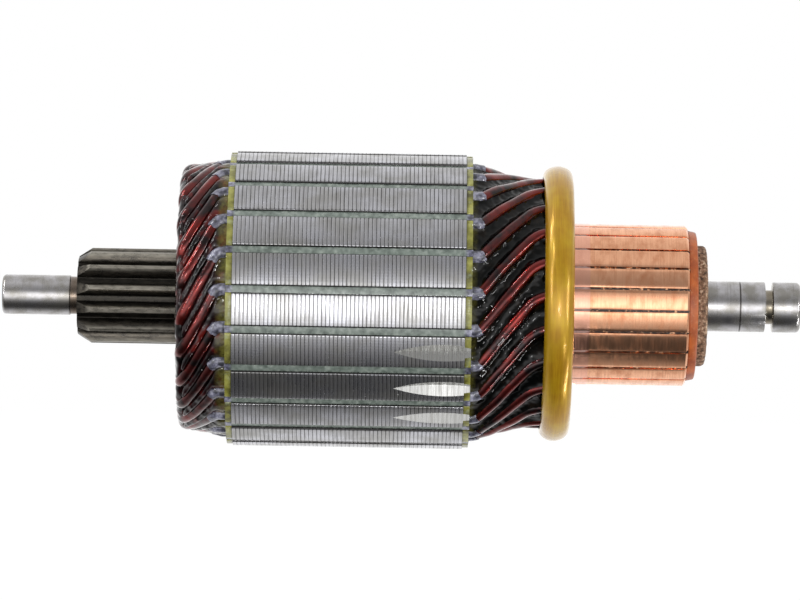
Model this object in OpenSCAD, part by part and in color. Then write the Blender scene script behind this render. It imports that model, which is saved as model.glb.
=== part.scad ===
// Armature of a starter motor with a planetary reduction: 23 slots, six poles, wave wound.
// Millimetres. The shaft lies along X: sun gear towards -X, commutator towards +X, +Z up.
// The origin is on the shaft axis, halfway between the two shaft tips.
// Stations (s_...) are distances along the shaft, measured from the drive-end tip.
// Angles about the shaft start at -Y and turn towards -Z, then +Y, then +Z.

/* [Shaft] */
// Diameter of the drive-end pilot
pilot_d = 7.9; // [7:0.1:9.4]
// Length of the pilot, from its tip to the face of the sun gear
pilot_l = 15.2; // [10:0.1:24]
// Radius of the rounded pilot tip
pilot_tip_r = 0.7; // [0.3:0.1:1.5]
// Length of the grinding relief at the root of the pilot
relief_l = 1.7; // [1:0.1:3]
// Depth of the grinding relief
relief_h = 0.2; // [0.17:0.01:0.35]
// Diameter of the shaft under the core
body_d = 14; // [13:0.1:17]
// Diameter of the seat pressed into the commutator
seat_d = 12; // [11:0.1:13]
// Diameter of the commutator-end journal
journal_d = 10; // [8:0.1:10.8]
// Length of the journal, up to the circlip groove
journal_l = 11.8; // [8:0.1:18]
// Width of the circlip groove at its floor
groove_w = 1.4; // [1:0.1:2]
// Diameter of the groove floor
groove_d = 6.8; // [6:0.1:7.6]
// Axial lean of each groove wall
groove_lean = 0.1; // [0:0.05:0.2]
// Length of shaft past the groove
tail_l = 5.5; // [3:0.1:9]
// Corner radius of the commutator-end tip
tail_r = 0.9; // [0.4:0.1:1.4]
// Mouth diameter of the centre drilling in each shaft end
centre_d = 3.2; // [2:0.1:4]

/* [Sun gear] */
// Number of teeth
teeth = 13; // [11:1:15]
// Outside diameter of the teeth
gear_d = 19.05; // [17:0.05:23]
// Diameter at the tooth roots
gear_root_d = 14.7; // [14.2:0.1:16]
// Pressure angle of the involute flanks
pressure = 20; // [18:0.5:25]
// Width of a tooth tip, measured round the outside
tip_land = 0.8; // [0.5:0.05:1.1]
// Length of gear clear of the winding
gear_free_l = 20.2; // [14:0.1:30]
// Length of gear that runs on inside the winding
gear_hidden_l = 1.4; // [0.5:0.1:4]
// Axial length of the lead-in chamfer
gear_lead_l = 2.6; // [1:0.1:4]
// Radial height of the lead-in chamfer
gear_lead_h = 1.7; // [0.8:0.1:2]
// Angle of one tooth about the shaft
gear_phase = -9.9; // [-14:0.1:14]

/* [Core] */
// Outside diameter of the laminations
core_d = 58.8; // [52:0.1:72]
// Number of lamination packs, each of bonded stampings
packs = 19; // [13:1:24]
// Stampings in one pack
pack_plates = 3; // [1:1:4]
// Pitch of the stampings
plate_pitch = 0.8; // [0.7:0.05:1]
// Air between two packs
pack_gap = 0.04; // [0.02:0.01:0.1]
// Number of slots, coils and commutator bars: one short of a multiple of three suits six poles
slots = 23; // [20:3:26]
// Width of a slot mouth
mouth_w = 1.4; // [1.1:0.1:2]
// Height of the tooth lips beside the mouth
lip_h = 1.4; // [1:0.1:2.2]
// Thickness of the insulating disc at each end of the core
disc_t = 1.2; // [0.8:0.1:2]
// How far the insulating discs stand in from the laminations
disc_inset = 0.3; // [0:0.1:1]
// Wall of the insulating collar on the shaft
collar_t = 1.2; // [0.8:0.1:2]
// Angle of one slot about the shaft
slot_phase = -3.55; // [-7:0.05:7]

/* [Balance cuts] */
// Number of teeth that were milled for balance
cuts = 3; // [1:1:5]
// Tooth that the first cut is on, counted from the slot at slot_phase
cut_first = 1; // [0:1:10]
// Greatest depth of a cut
cut_h = 1.5; // [0.6:0.1:1.9]
// Radius of the milling cutter
cut_r = 33; // [25:1:40]
// Half angle of the cutter's vee edge
cut_angle = 50; // [40:1:55]
// Distance of the deepest point from the commutator end of the laminations
cut_back = 5.2; // [2:0.1:20]

/* [Winding] */
// Diameter of the enamelled wire
wire_d = 2.4; // [2:0.05:2.9]
// Slots that a coil spans at the drive end
coil_pitch = 4; // [3:1:4]
// Gap between the outer and the inner layer
layer_gap = 0.15; // [0.1:0.05:0.4]
// Distance from the insulating disc to the face of the drive-end turns
nose_l = 10; // [8.5:0.1:16]
// Distance from the insulating disc to the banding ring
lead_l = 14.2; // [13:0.1:22]
// Bend radius of the wire where it leaves a slot
exit_r = 2.2; // [1.8:0.1:3]
// Bend radius of the drive-end turn
nose_r = 4; // [3:0.1:5]
// Bend radius of the wire before the riser
lead_r = 7; // [5:0.1:9]
// How far the drive-end turns close in towards the shaft
nose_drop = 1.1; // [0:0.1:2]
// How far the commutator-end legs close in towards the shaft
lead_drop = 2.6; // [1:0.1:3.5]
// Wall of the slot liner
liner_t = 0.25; // [0.15:0.05:0.4]
// Straight collar of the liner past the insulating disc
liner_collar_l = 0.5; // [0.3:0.1:1]
// Length of the liner tongue beside each bend
liner_tongue_l = 2.4; // [1:0.1:2.6]
// Depth of the filled slot mouth below the core surface
mouth_depth = 0.35; // [0.2:0.05:0.8]

/* [Commutator] */
// Diameter of the brush track
track_d = 32; // [30:0.1:40]
// Length of the brush track
track_l = 19.6; // [14:0.1:30]
// Length of the unworn neck beside the risers
neck_l = 2.8; // [1:0.1:5]
// Wear of the brush track below the neck
track_wear = 0.05; // [0.05:0.01:0.5]
// Chamfer at the end of the brush track
track_chamfer = 0.4; // [0.2:0.1:0.8]
// Gap between two bars
bar_gap = 0.5; // [0.4:0.05:0.9]
// Depth of the open undercut between two bars
undercut = 0.9; // [0.5:0.1:1.4]
// Thickness of the bars above their anchoring feet
bar_h = 2.2; // [1.8:0.1:3]
// Depth of the anchoring feet in the moulding
foot_h = 2.4; // [1.5:0.1:3]
// Slant of the dovetailed feet
foot_slant = 1.2; // [0.6:0.1:1.5]
// Length of a riser along the shaft
riser_l = 4.4; // [3.5:0.1:5]
// Wall of a riser on each side of the wires
riser_t = 0.63; // [0.5:0.01:0.8]
// Diameter of the moulded shoulder at the end of the bars
shoulder_d = 30; // [26:0.1:34]
// Length of the moulded shoulder
shoulder_l = 1.8; // [1:0.1:4]
// Diameter of the granular end ring
end_ring_d = 24.2; // [20:0.1:30]
// Length of the granular end ring
end_ring_l = 2.2; // [1:0.1:4]
// Width of the banding ring
band_w = 6.4; // [5:0.1:9]
// Height of the banding ring over the wires
band_h = 2.3; // [1.5:0.1:3]

/* [Fits] */
// Clearance between pieces that sit tight in one another
fit = 0.02; // [0.02:0.01:0.05]
// Clearance round a wire in its liner or riser
wire_play = 0.05; // [0.03:0.01:0.1]

/* [Hidden] */
$fn = 96;

pack_pitch = pack_plates * plate_pitch;
core_l = packs * pack_pitch;
s_gear = pilot_l;
s_nose = s_gear + gear_free_l;
s_gear_end = s_nose + gear_hidden_l;
s_disc_a = s_nose + nose_l;
s_core = s_disc_a + disc_t;
s_disc_b = s_core + core_l;
s_lead = s_disc_b + disc_t;
s_band = s_lead + lead_l;
s_neck = s_band + band_w;
s_riser = s_neck - riser_l;
s_hub = s_riser - 1;
s_track = s_neck + neck_l;
s_shoulder = s_track + track_l;
s_end_ring = s_shoulder + shoulder_l;
s_journal = s_end_ring + end_ring_l;
s_groove = s_journal + journal_l;
s_tail = s_groove + groove_w + 2 * groove_lean;
total_l = s_tail + tail_l;

slot_step = 360 / slots;
// a wave winding steps this many bars per coil, and its two legs share what the coil leaves over
bar_pitch = (slots + 1) / 3;
lead_pitch = (bar_pitch - coil_pitch) / 2;
bar_phase = slot_phase + (lead_pitch - floor(lead_pitch)) * slot_step;
gear_step = 360 / teeth;
wire_r = wire_d / 2;
// a slot is a rounded channel that two wires in their liner fill, one above the other
bore_r = wire_r + wire_play;
slot_r = bore_r + liner_t + fit;
r_outer = core_d / 2 - lip_h - slot_r;
r_inner = r_outer - wire_d - layer_gap;
r_mouth = core_d / 2 - mouth_depth;
r_lead = r_outer - lead_drop;
r_lead_in = r_inner - lead_drop;
r_band = r_lead + wire_r + wire_play;
r_neck = track_d / 2 + track_wear;
r_foot = track_d / 2 - bar_h;
riser_w = wire_d + 2 * (wire_play + riser_t);

wire_sides = 8;
steps_exit = 3;
steps_lean = 3;
steps_lead = 3;
steps_nose = 3;

// pieces drawn up along Z, from the drive-end tip, are laid along the shaft and turned about it
module on_shaft(angle = 0) {
    rotate([0, 90, 0])
        rotate([0, 0, angle - 90])
            translate([0, 0, -total_l / 2])
                children();
}

module at(station) {
    translate([0, 0, station])
        children();
}

function corner(r, cx, cy, from, to, n = 4) =
    [for (k = [0:n]) let (a = from + (to - from) * k / n) [cx + r * cos(a), cy + r * sin(a)]];

// ---- shaft ----

// involute of the base circle: polar angle gained when the flank has reached radius r
function involute(rb, r) = r <= rb ? 0 : let (a = acos(rb / r)) tan(a) * 180 / PI - a;

pitch_r = (gear_d / 2 + gear_root_d / 2) / 2 - 0.3;
base_r = pitch_r * cos(pressure);
tip_half = tip_land / gear_d * 180 / PI;
flank_half = tip_half + involute(base_r, gear_d / 2);
flank_from = max(base_r, gear_root_d / 2 + 0.15);

// one side of a tooth, from the root up to the tip, as radius and angle from the tooth's middle
flank = concat(
    [[gear_root_d / 2, min(flank_half + 2.4, gear_step / 2 - 0.6)],
     [gear_root_d / 2 + 0.06, flank_half + 0.9]],
    [for (k = [0:5])
        let (r = flank_from + (gear_d / 2 - flank_from) * k / 5)
        [r, flank_half - involute(base_r, r)]]);

function polar(r, a) = [r * cos(a), r * sin(a)];

module gear_outline() {
    polygon([for (t = [0:teeth - 1], side = [-1, 1], k = [0:len(flank) - 1])
        let (p = flank[side < 0 ? k : len(flank) - 1 - k])
        polar(p[0], t * gear_step + side * p[1])]);
}

module sun_gear() {
    intersection() {
        at(s_gear)
            linear_extrude(s_gear_end - s_gear)
                gear_outline();
        rotate_extrude()
            polygon([
                [0, s_gear],
                [gear_d / 2 - gear_lead_h, s_gear],
                [gear_d / 2, s_gear + gear_lead_l],
                [gear_d / 2, s_gear_end - 0.5],
                [gear_d / 2 - 0.5, s_gear_end],
                [0, s_gear_end]]);
    }
}

module shaft_blank() {
    rotate_extrude()
        polygon(concat(
            [[0, 0]],
            corner(pilot_tip_r, pilot_d / 2 - pilot_tip_r, pilot_tip_r, -90, 0),
            [[pilot_d / 2, s_gear - relief_l],
             [pilot_d / 2 - relief_h, s_gear - relief_l + relief_h],
             [pilot_d / 2 - relief_h, s_gear + 0.1],
             [gear_root_d / 2, s_gear + 0.1],
             [gear_root_d / 2, s_gear_end - 0.1],
             [body_d / 2, s_gear_end - 0.1],
             [body_d / 2, s_hub],
             [seat_d / 2, s_hub],
             [seat_d / 2, s_journal],
             [journal_d / 2, s_journal],
             [journal_d / 2, s_groove],
             [groove_d / 2, s_groove + groove_lean],
             [groove_d / 2, s_groove + groove_lean + groove_w],
             [journal_d / 2, s_tail]],
            corner(tail_r, journal_d / 2 - tail_r, total_l - tail_r, 0, 90),
            [[0, total_l]]));
}

// 60 degree countersink with its drilled pilot, as the lathe centres leave it
module centre_drilling() {
    rotate_extrude()
        polygon([
            [0, -1],
            [centre_d / 2 + 0.577, -1],
            [centre_d / 4, centre_d / 4 * 1.732],
            [centre_d / 4, centre_d],
            [0, centre_d * 1.15]]);
}

module shaft() {
    color([0.74, 0.74, 0.72])
        on_shaft(gear_phase)
            difference() {
                union() {
                    shaft_blank();
                    sun_gear();
                }
                centre_drilling();
                at(total_l)
                    mirror([0, 0, 1])
                        centre_drilling();
            }
}

// ---- core ----

// a channel with round ends for two wires, grown by the given radius
module channel(r) {
    translate([r_inner, 0])
        circle(r, $fn = 32);
    translate([r_outer, 0])
        circle(r, $fn = 32);
    translate([r_inner, -r])
        square([r_outer - r_inner, 2 * r]);
}

module slot_outline() {
    channel(slot_r);
    translate([r_outer, -mouth_w / 2])
        square([core_d / 2 - r_outer + 1, mouth_w]);
}

module stamping(r) {
    difference() {
        circle(r, $fn = 184);
        for (i = [0:slots - 1])
            rotate(i * slot_step)
                slot_outline();
        circle(body_d / 2 + fit);
    }
}

// vee-edged milling cutter, standing over the tooth that it has cut
module balance_cutter(i) {
    reach = cut_r - 4 * cut_h;
    rotate((cut_first + i + 0.5) * slot_step)
        translate([core_d / 2 - cut_h + cut_r, 0, s_disc_b - cut_back])
            rotate([90, 0, 0])
                rotate_extrude($fn = 192)
                    polygon([
                        [reach, -4 * cut_h * tan(cut_angle)],
                        [cut_r, 0],
                        [reach, 4 * cut_h * tan(cut_angle)]]);
}

cut_half_l = sqrt(cut_r * cut_r - (cut_r - cut_h) * (cut_r - cut_h));
first_cut_pack = max(0, floor((core_l - cut_back - cut_half_l) / pack_pitch));

module pack(k) {
    at(s_core + k * pack_pitch + pack_gap / 2)
        linear_extrude(pack_pitch - pack_gap)
            stamping(core_d / 2);
}

module laminations() {
    color([0.56, 0.56, 0.54])
        on_shaft(slot_phase) {
            for (k = [0:packs - 1])
                if (k < first_cut_pack)
                    pack(k);
                else
                    difference() {
                        pack(k);
                        for (i = [0:cuts - 1])
                            balance_cutter(i);
                    }
        }
}

module disc(station) {
    at(station)
        linear_extrude(disc_t)
            stamping(core_d / 2 - disc_inset);
}

module collar(from, to) {
    at(from)
        difference() {
            cylinder(r = body_d / 2 + fit + collar_t, h = to - from);
            at(-1)
                cylinder(r = body_d / 2 + fit, h = to - from + 2);
        }
}

module end_insulator_drive() {
    color([0.60, 0.60, 0.28])
        on_shaft(slot_phase) {
            disc(s_disc_a);
            collar(s_gear_end + 0.2, s_disc_a + 0.1);
        }
}

module end_insulator_commutator() {
    color([0.60, 0.60, 0.28])
        on_shaft(slot_phase) {
            difference() {
                disc(s_disc_b);
                for (i = [0:cuts - 1])
                    balance_cutter(i);
            }
            collar(s_lead - 0.1, s_hub - 0.1);
        }
}

// ---- slot liners ----

module liner_outline() {
    difference() {
        union() {
            channel(slot_r - fit);
            translate([r_outer, -mouth_w / 2 + fit])
                square([r_mouth - r_outer, mouth_w - 2 * fit]);
        }
        channel(bore_r);
    }
}

// the side wall that a bend turns away from: +1 or -1 for the side, outer layer or inner layer;
// the two layers' tongues stand apart, because the outer wire closes in over the inner tongue
module tongue_outline(side, outer) {
    low = outer ? (r_outer + r_inner) / 2 + 0.3 : r_inner + 0.1;
    high = outer ? r_outer + 0.3 : (r_outer + r_inner) / 2 - 0.45;
    inside = 0.8 * wire_r;
    intersection() {
        difference() {
            channel(slot_r - fit);
            channel(bore_r);
        }
        translate([low, side > 0 ? inside : -slot_r])
            square([high - low, slot_r - inside]);
    }
}

module slot_liner() {
    at(s_disc_a - liner_collar_l)
        linear_extrude(s_lead - s_disc_a + 2 * liner_collar_l)
            liner_outline();
    for (outer = [true, false]) {
        at(s_disc_a - liner_tongue_l)
            linear_extrude(liner_tongue_l)
                tongue_outline(outer ? -1 : 1, outer);
        at(s_lead)
            linear_extrude(liner_tongue_l)
                tongue_outline(outer ? 1 : -1, outer);
    }
}

module slot_liners() {
    color([0.52, 0.53, 0.54])
        on_shaft(slot_phase)
            for (i = [0:slots - 1])
                rotate(i * slot_step)
                    slot_liner();
}

// ---- coils ----

// Each leg is laid out flat, as distance along the shaft and distance round it.
// It leaves the slot straight, bends by the angle "lean", runs straight, and bends again.
// The lean of a leg that ends along the shaft, after length a and offset w:
function lean_back(a, w, r1, r2) =
    asin((r1 + r2) / norm([a, w - r1 - r2])) + atan2(w - r1 - r2, a);
// The lean of a leg that ends square to the shaft, at the crown of the drive-end turn:
function lean_over(a, w, r1, r2) =
    asin((r1 - r2) / norm([a - r2, w - r1])) + atan2(w - r1, a - r2);

function exit_bend(lean, r) =
    [for (k = [0:steps_exit]) let (b = lean * k / steps_exit) [r * sin(b), r * (1 - cos(b))]];

function between(p, q, n) = [for (k = [1:n - 1]) p + (q - p) * k / n];

function lead_leg(a, w) =
    let (lean = lean_back(a, w, exit_r, lead_r),
         first = exit_bend(lean, exit_r),
         last = [for (k = [steps_lead:-1:0]) let (b = lean * k / steps_lead)
             [a - lead_r * sin(b), w - lead_r * (1 - cos(b))]])
    concat(first, between(first[steps_exit], last[0], steps_lean), last);

function nose_leg(a, w) =
    let (lean = lean_over(a, w, exit_r, nose_r),
         first = exit_bend(lean, exit_r),
         last = [for (k = [0:steps_nose]) let (b = lean + (90 - lean) * k / steps_nose)
             [a - nose_r * (1 - sin(b)), w - nose_r * cos(b)]])
    concat(first, between(first[steps_exit], last[0], 2), last);

bend_start = liner_collar_l + 0.1;
nose_a = nose_l - wire_r - bend_start;
lead_a = lead_l + band_w - riser_l - 0.1 - bend_start;
nose_span = coil_pitch / 2 * slot_step;
lead_span = lead_pitch * slot_step;
nose_mean_r = (r_outer + r_inner - nose_drop) / 2;
lead_mean_r = (r_outer + r_inner - lead_drop) / 2;
nose_w = nose_span * nose_mean_r * PI / 180;
lead_w = lead_span * lead_mean_r * PI / 180;
nose_plan = nose_leg(nose_a, nose_w);
lead_plan = lead_leg(lead_a, lead_w);

function ease(x) = x <= 0 ? 0 : x >= 1 ? 1 : pow(sin(90 * x), 1.25);
// radius of a lead leg at length a past its slot
function lead_radius(r, a) = r - lead_drop * ease(a / (0.77 * lead_a));
// radius along the drive-end turn: u is the way round from the crown, negative on the outer leg
function nose_radius(u, a) =
    (r_outer + r_inner) / 2 - nose_drop * ease(a / nose_a)
    - (r_outer - r_inner) / 2 * (u < -2.6 ? -1 : u > 2.6 ? 1 : sin(90 * u / 2.6));

function on_cylinder(r, a, s) = [s - total_l / 2, -r * cos(a), -r * sin(a)];

// the whole hairpin: riser, outer slot, drive-end turn, inner slot, riser
function hairpin(start) =
    let (finish = start + coil_pitch * slot_step, n = len(lead_plan) - 1, m = len(nose_plan) - 1)
    concat(
        [on_cylinder(r_lead, start - lead_span, s_neck - 0.05)],
        [for (k = [n:-1:0]) let (p = lead_plan[k])
            on_cylinder(lead_radius(r_outer, p[0]), start - p[1] / lead_w * lead_span,
                s_lead + bend_start + p[0])],
        [for (k = [0:m]) let (p = nose_plan[k])
            on_cylinder(nose_radius(p[1] - nose_w, p[0]), start + p[1] / nose_w * nose_span,
                s_disc_a - bend_start - p[0])],
        [for (k = [m - 1:-1:0]) let (p = nose_plan[k])
            on_cylinder(nose_radius(nose_w - p[1], p[0]), finish - p[1] / nose_w * nose_span,
                s_disc_a - bend_start - p[0])],
        [for (k = [0:n]) let (p = lead_plan[k])
            on_cylinder(lead_radius(r_inner, p[0]), finish + p[1] / lead_w * lead_span,
                s_lead + bend_start + p[0])],
        [on_cylinder(r_lead_in, finish + lead_span, s_neck - 0.05)]);

function unit(v) = v / norm(v);

function heading(path, i) =
    let (n = len(path) - 1,
         ahead = i < n ? unit(path[i + 1] - path[i]) : [0, 0, 0],
         behind = i > 0 ? unit(path[i] - path[i - 1]) : [0, 0, 0])
    unit(ahead + behind);

function wire_ring(path, i) =
    let (t = heading(path, i),
         b = unit(cross(t, [0, path[i][1], path[i][2]])),
         n = cross(b, t))
    [for (k = [0:wire_sides - 1]) let (a = (k + 0.5) * 360 / wire_sides)
        path[i] + wire_r * (cos(a) * n + sin(a) * b)];

// round wire along a path, closed at both ends
module wire(path) {
    m = wire_sides;
    n = len(path);
    polyhedron(
        points = [for (i = [0:n - 1]) each wire_ring(path, i)],
        faces = concat(
            [[for (k = [0:m - 1]) k]],
            [for (i = [0:n - 2], k = [0:m - 1], half = [0, 1])
                let (a = i * m + k, b = i * m + (k + 1) % m)
                half == 0 ? [a, a + m, b + m] : [a, b + m, b]],
            [[for (k = [m - 1:-1:0]) (n - 1) * m + k]]),
        convexity = 6);
}

module coil(i) {
    color([0.45, 0.09, 0.09])
        if (i < slots)
            wire(hairpin(slot_phase + i * slot_step));
}

// ---- commutator ----

// wedge between the two gaps beside a bar
module bar_wedge() {
    half = slot_step / 2;
    start = bar_gap / 2 / sin(half);
    far = r_band + 5;
    translate([start, 0])
        polygon([[0, 0], [far, -far * tan(half)], [far, far * tan(half)]]);
}

// radial section of a bar below its riser, with the dovetailed foot that the moulding grips
function bar_section(c) = [
    [r_foot - c, s_riser - c],
    [r_foot - c, s_neck + 0.6 - c],
    [r_foot - foot_h - c, s_neck + 0.6 - foot_slant - c],
    [r_foot - foot_h - c, s_shoulder - 2 + foot_slant + c],
    [r_foot - c, s_shoulder - 2 + c],
    [r_foot - c, s_shoulder + c]];

module bar() {
    intersection() {
        rotate_extrude()
            polygon(concat(bar_section(0), [
                [track_d / 2 - track_chamfer, s_shoulder],
                [track_d / 2, s_shoulder - track_chamfer],
                [track_d / 2, s_track],
                [r_neck, s_track],
                [r_neck, s_riser]]));
        at(s_riser)
            linear_extrude(s_shoulder - s_riser)
                bar_wedge();
    }
    difference() {
        at(s_riser)
            linear_extrude(riser_l)
                intersection() {
                    translate([r_foot, -riser_w / 2])
                        square([r_lead + wire_r - wire_play - r_foot, riser_w]);
                    bar_wedge();
                }
        at(s_riser - 1)
            linear_extrude(riser_l + 2)
                translate([r_lead_in - wire_r - wire_play, -wire_r - wire_play])
                    square([r_band, 2 * (wire_r + wire_play)]);
    }
}

module commutator_bar(i) {
    color([0.85, 0.58, 0.42])
        if (i < slots)
            on_shaft(bar_phase + i * slot_step)
                bar();
}

module commutator_hub() {
    color([0.60, 0.31, 0.16])
        on_shaft(bar_phase) {
            rotate_extrude()
                polygon(concat(
                    [[seat_d / 2 + fit, s_hub + 0.1], [r_foot - 0.5, s_hub + 0.1],
                     [r_foot - fit, s_hub + 0.6]],
                    bar_section(fit),
                    [[shoulder_d / 2, s_shoulder + fit],
                     [shoulder_d / 2 - 0.25, s_end_ring],
                     [seat_d / 2 + fit, s_end_ring]]));
            for (i = [0:slots - 1])
                rotate((i + 0.5) * slot_step)
                    translate([r_foot - foot_h - 0.3, -bar_gap / 2 + fit, s_riser])
                        cube([bar_h + foot_h + 0.3 - undercut, bar_gap - 2 * fit,
                            s_shoulder - s_riser + fit + 0.1]);
        }
}

module commutator_end_ring() {
    r = end_ring_d / 2;
    color([0.46, 0.37, 0.30])
        on_shaft()
            rotate_extrude()
                polygon(concat(
                    [[seat_d / 2 + fit, s_end_ring + fit], [r, s_end_ring + fit]],
                    corner(0.9, r - 0.9, s_journal - 0.9, 0, 90),
                    [[seat_d / 2 + fit, s_journal]]));
}

// glass roving wound over the wires and risers, its crown nearer the winding
module banding_ring() {
    r = r_band + fit;
    color([0.74, 0.60, 0.22])
        on_shaft()
            rotate_extrude()
                polygon([
                    [r, s_band],
                    [r + 0.42 * band_h, s_band],
                    [r + 0.68 * band_h, s_band + 0.04 * band_w],
                    [r + 0.86 * band_h, s_band + 0.10 * band_w],
                    [r + 0.96 * band_h, s_band + 0.21 * band_w],
                    [r + band_h, s_band + 0.34 * band_w],
                    [r + 0.98 * band_h, s_band + 0.46 * band_w],
                    [r + 0.86 * band_h, s_band + 0.58 * band_w],
                    [r + 0.58 * band_h, s_band + 0.70 * band_w],
                    [r + 0.30 * band_h, s_band + 0.80 * band_w],
                    [r + 0.16 * band_h, s_band + 0.92 * band_w],
                    [r + 0.12 * band_h, s_neck],
                    [r, s_neck]]);
}

shaft();
laminations();
end_insulator_drive();
end_insulator_commutator();
slot_liners();
coil(0);  // coil_01
coil(1);  // coil_02
coil(2);  // coil_03
coil(3);  // coil_04
coil(4);  // coil_05
coil(5);  // coil_06
coil(6);  // coil_07
coil(7);  // coil_08
coil(8);  // coil_09
coil(9);  // coil_10
coil(10);  // coil_11
coil(11);  // coil_12
coil(12);  // coil_13
coil(13);  // coil_14
coil(14);  // coil_15
coil(15);  // coil_16
coil(16);  // coil_17
coil(17);  // coil_18
coil(18);  // coil_19
coil(19);  // coil_20
coil(20);  // coil_21
coil(21);  // coil_22
coil(22);  // coil_23
coil(23);  // coil_24
coil(24);  // coil_25
coil(25);  // coil_26
commutator_bar(0);  // commutator_bar_01
commutator_bar(1);  // commutator_bar_02
commutator_bar(2);  // commutator_bar_03
commutator_bar(3);  // commutator_bar_04
commutator_bar(4);  // commutator_bar_05
commutator_bar(5);  // commutator_bar_06
commutator_bar(6);  // commutator_bar_07
commutator_bar(7);  // commutator_bar_08
commutator_bar(8);  // commutator_bar_09
commutator_bar(9);  // commutator_bar_10
commutator_bar(10);  // commutator_bar_11
commutator_bar(11);  // commutator_bar_12
commutator_bar(12);  // commutator_bar_13
commutator_bar(13);  // commutator_bar_14
commutator_bar(14);  // commutator_bar_15
commutator_bar(15);  // commutator_bar_16
commutator_bar(16);  // commutator_bar_17
commutator_bar(17);  // commutator_bar_18
commutator_bar(18);  // commutator_bar_19
commutator_bar(19);  // commutator_bar_20
commutator_bar(20);  // commutator_bar_21
commutator_bar(21);  // commutator_bar_22
commutator_bar(22);  // commutator_bar_23
commutator_bar(23);  // commutator_bar_24
commutator_bar(24);  // commutator_bar_25
commutator_bar(25);  // commutator_bar_26
commutator_hub();
commutator_end_ring();
banding_ring();
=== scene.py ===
"""Looks of a starter-motor armature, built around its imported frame.

The shaft lies along X, with the sun gear towards -X and the commutator towards +X. Pieces are
modelled on a bench, in millimetres, with the shaft along Z and stations counted from the drive-end
tip. They are then laid on the shaft in the frame's metres. Angles about the shaft start at -Y and
turn towards -Z.
"""

import logging
import math
from abc import ABC, abstractmethod
from collections.abc import Callable, Iterator, Sequence
from dataclasses import dataclass, field
from enum import Enum
from functools import cache, cached_property

import bmesh
import bpy
import numpy as np
from mathutils import Matrix, Vector, noise


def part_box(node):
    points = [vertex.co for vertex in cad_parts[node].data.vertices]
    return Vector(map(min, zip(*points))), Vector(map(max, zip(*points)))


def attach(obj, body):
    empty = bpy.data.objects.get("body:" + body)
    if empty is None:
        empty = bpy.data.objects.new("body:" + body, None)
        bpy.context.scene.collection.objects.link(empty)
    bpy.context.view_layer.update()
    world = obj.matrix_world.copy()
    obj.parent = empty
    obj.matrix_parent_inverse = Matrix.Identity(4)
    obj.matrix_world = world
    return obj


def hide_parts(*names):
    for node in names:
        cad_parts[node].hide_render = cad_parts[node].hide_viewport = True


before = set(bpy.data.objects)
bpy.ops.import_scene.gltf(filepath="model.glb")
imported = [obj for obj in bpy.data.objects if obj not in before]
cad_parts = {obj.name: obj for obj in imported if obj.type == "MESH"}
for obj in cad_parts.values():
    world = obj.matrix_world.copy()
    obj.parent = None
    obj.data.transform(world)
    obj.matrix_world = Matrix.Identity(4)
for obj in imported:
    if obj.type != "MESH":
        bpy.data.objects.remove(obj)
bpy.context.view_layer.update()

MM = 0.001
TURN = 2 * math.pi
LOG = logging.getLogger("armature")
Point = tuple[float, float]
Spot = tuple[float, float, float]


# ---------------------------------------------------------------- sizes


class End(Enum):
    """The two ends of the core, as the way that each faces along the shaft."""

    DRIVE = -1
    COMMUTATOR = 1


class Layer(Enum):
    """The two layers of wire in a slot."""

    OUTER = 0
    INNER = 1


@cache
def stations(node: str, origin: float) -> Point:
    """Where a frame node starts and ends along the shaft.

    Args:
        node: Name of the frame's node.
        origin: Place of the drive-end tip, in millimetres along X.

    Returns:
        The two stations, in millimetres from the drive-end tip.
    """
    low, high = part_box(node)
    return low.x / MM - origin, high.x / MM - origin


@dataclass(frozen=True)
class Sizes:
    """Sizes that several sub-assemblies share, in millimetres and degrees."""

    origin: float = field(default_factory=lambda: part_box("shaft")[0].x / MM)
    slots: int = 23
    slot_phase: float = -3.55
    wire_d: float = 2.4
    layer_gap: float = 0.15
    wire_play: float = 0.05
    liner_t: float = 0.25
    liner_play: float = 0.02
    lip_h: float = 1.4
    disc_t: float = 1.2
    sleeve_in: float = 1.1
    body_r: float = 7.0
    seat_r: float = 6.0
    lead_drop: float = 2.6

    @property
    def slot_step(self) -> float:
        """Angle from one slot to the next."""
        return 360 / self.slots

    @cached_property
    def core_r(self) -> float:
        """Radius of the laminations."""
        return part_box("laminations")[1].z / MM

    @cached_property
    def core(self) -> Point:
        """Stations of the laminations."""
        return stations("laminations", self.origin)

    @cached_property
    def length(self) -> float:
        """Length of the shaft."""
        return stations("shaft", self.origin)[1]

    @property
    def bore_r(self) -> float:
        """Radius of the lined slot round a wire."""
        return self.wire_d / 2 + self.wire_play

    @property
    def liner_r(self) -> float:
        """Radius of a liner's outside round a wire."""
        return self.bore_r + self.liner_t

    @property
    def slot_r(self) -> float:
        """Radius of the bare slot round a wire."""
        return self.liner_r + self.liner_play

    @property
    def r_outer(self) -> float:
        """Radius at which the outer wires lie."""
        return self.core_r - self.lip_h - self.slot_r

    @property
    def r_inner(self) -> float:
        """Radius at which the inner wires lie."""
        return self.r_outer - self.wire_d - self.layer_gap

    @property
    def core_span(self) -> Point:
        """Where the core starts and ends along the frame's X, in millimetres."""
        return self.core[0] + self.origin, self.core[1] + self.origin

    def layer_r(self, layer: Layer) -> float:
        """Radius at which the wires of a layer lie."""
        return self.r_outer if layer is Layer.OUTER else self.r_inner

    def sleeve_face(self, end: End) -> float:
        """Station in the disc's hole where the sleeves and the resin begin."""
        return self.core[0] - self.sleeve_in if end is End.DRIVE else self.core[1] + self.sleeve_in


# ---------------------------------------------------------------- the bench


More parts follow.
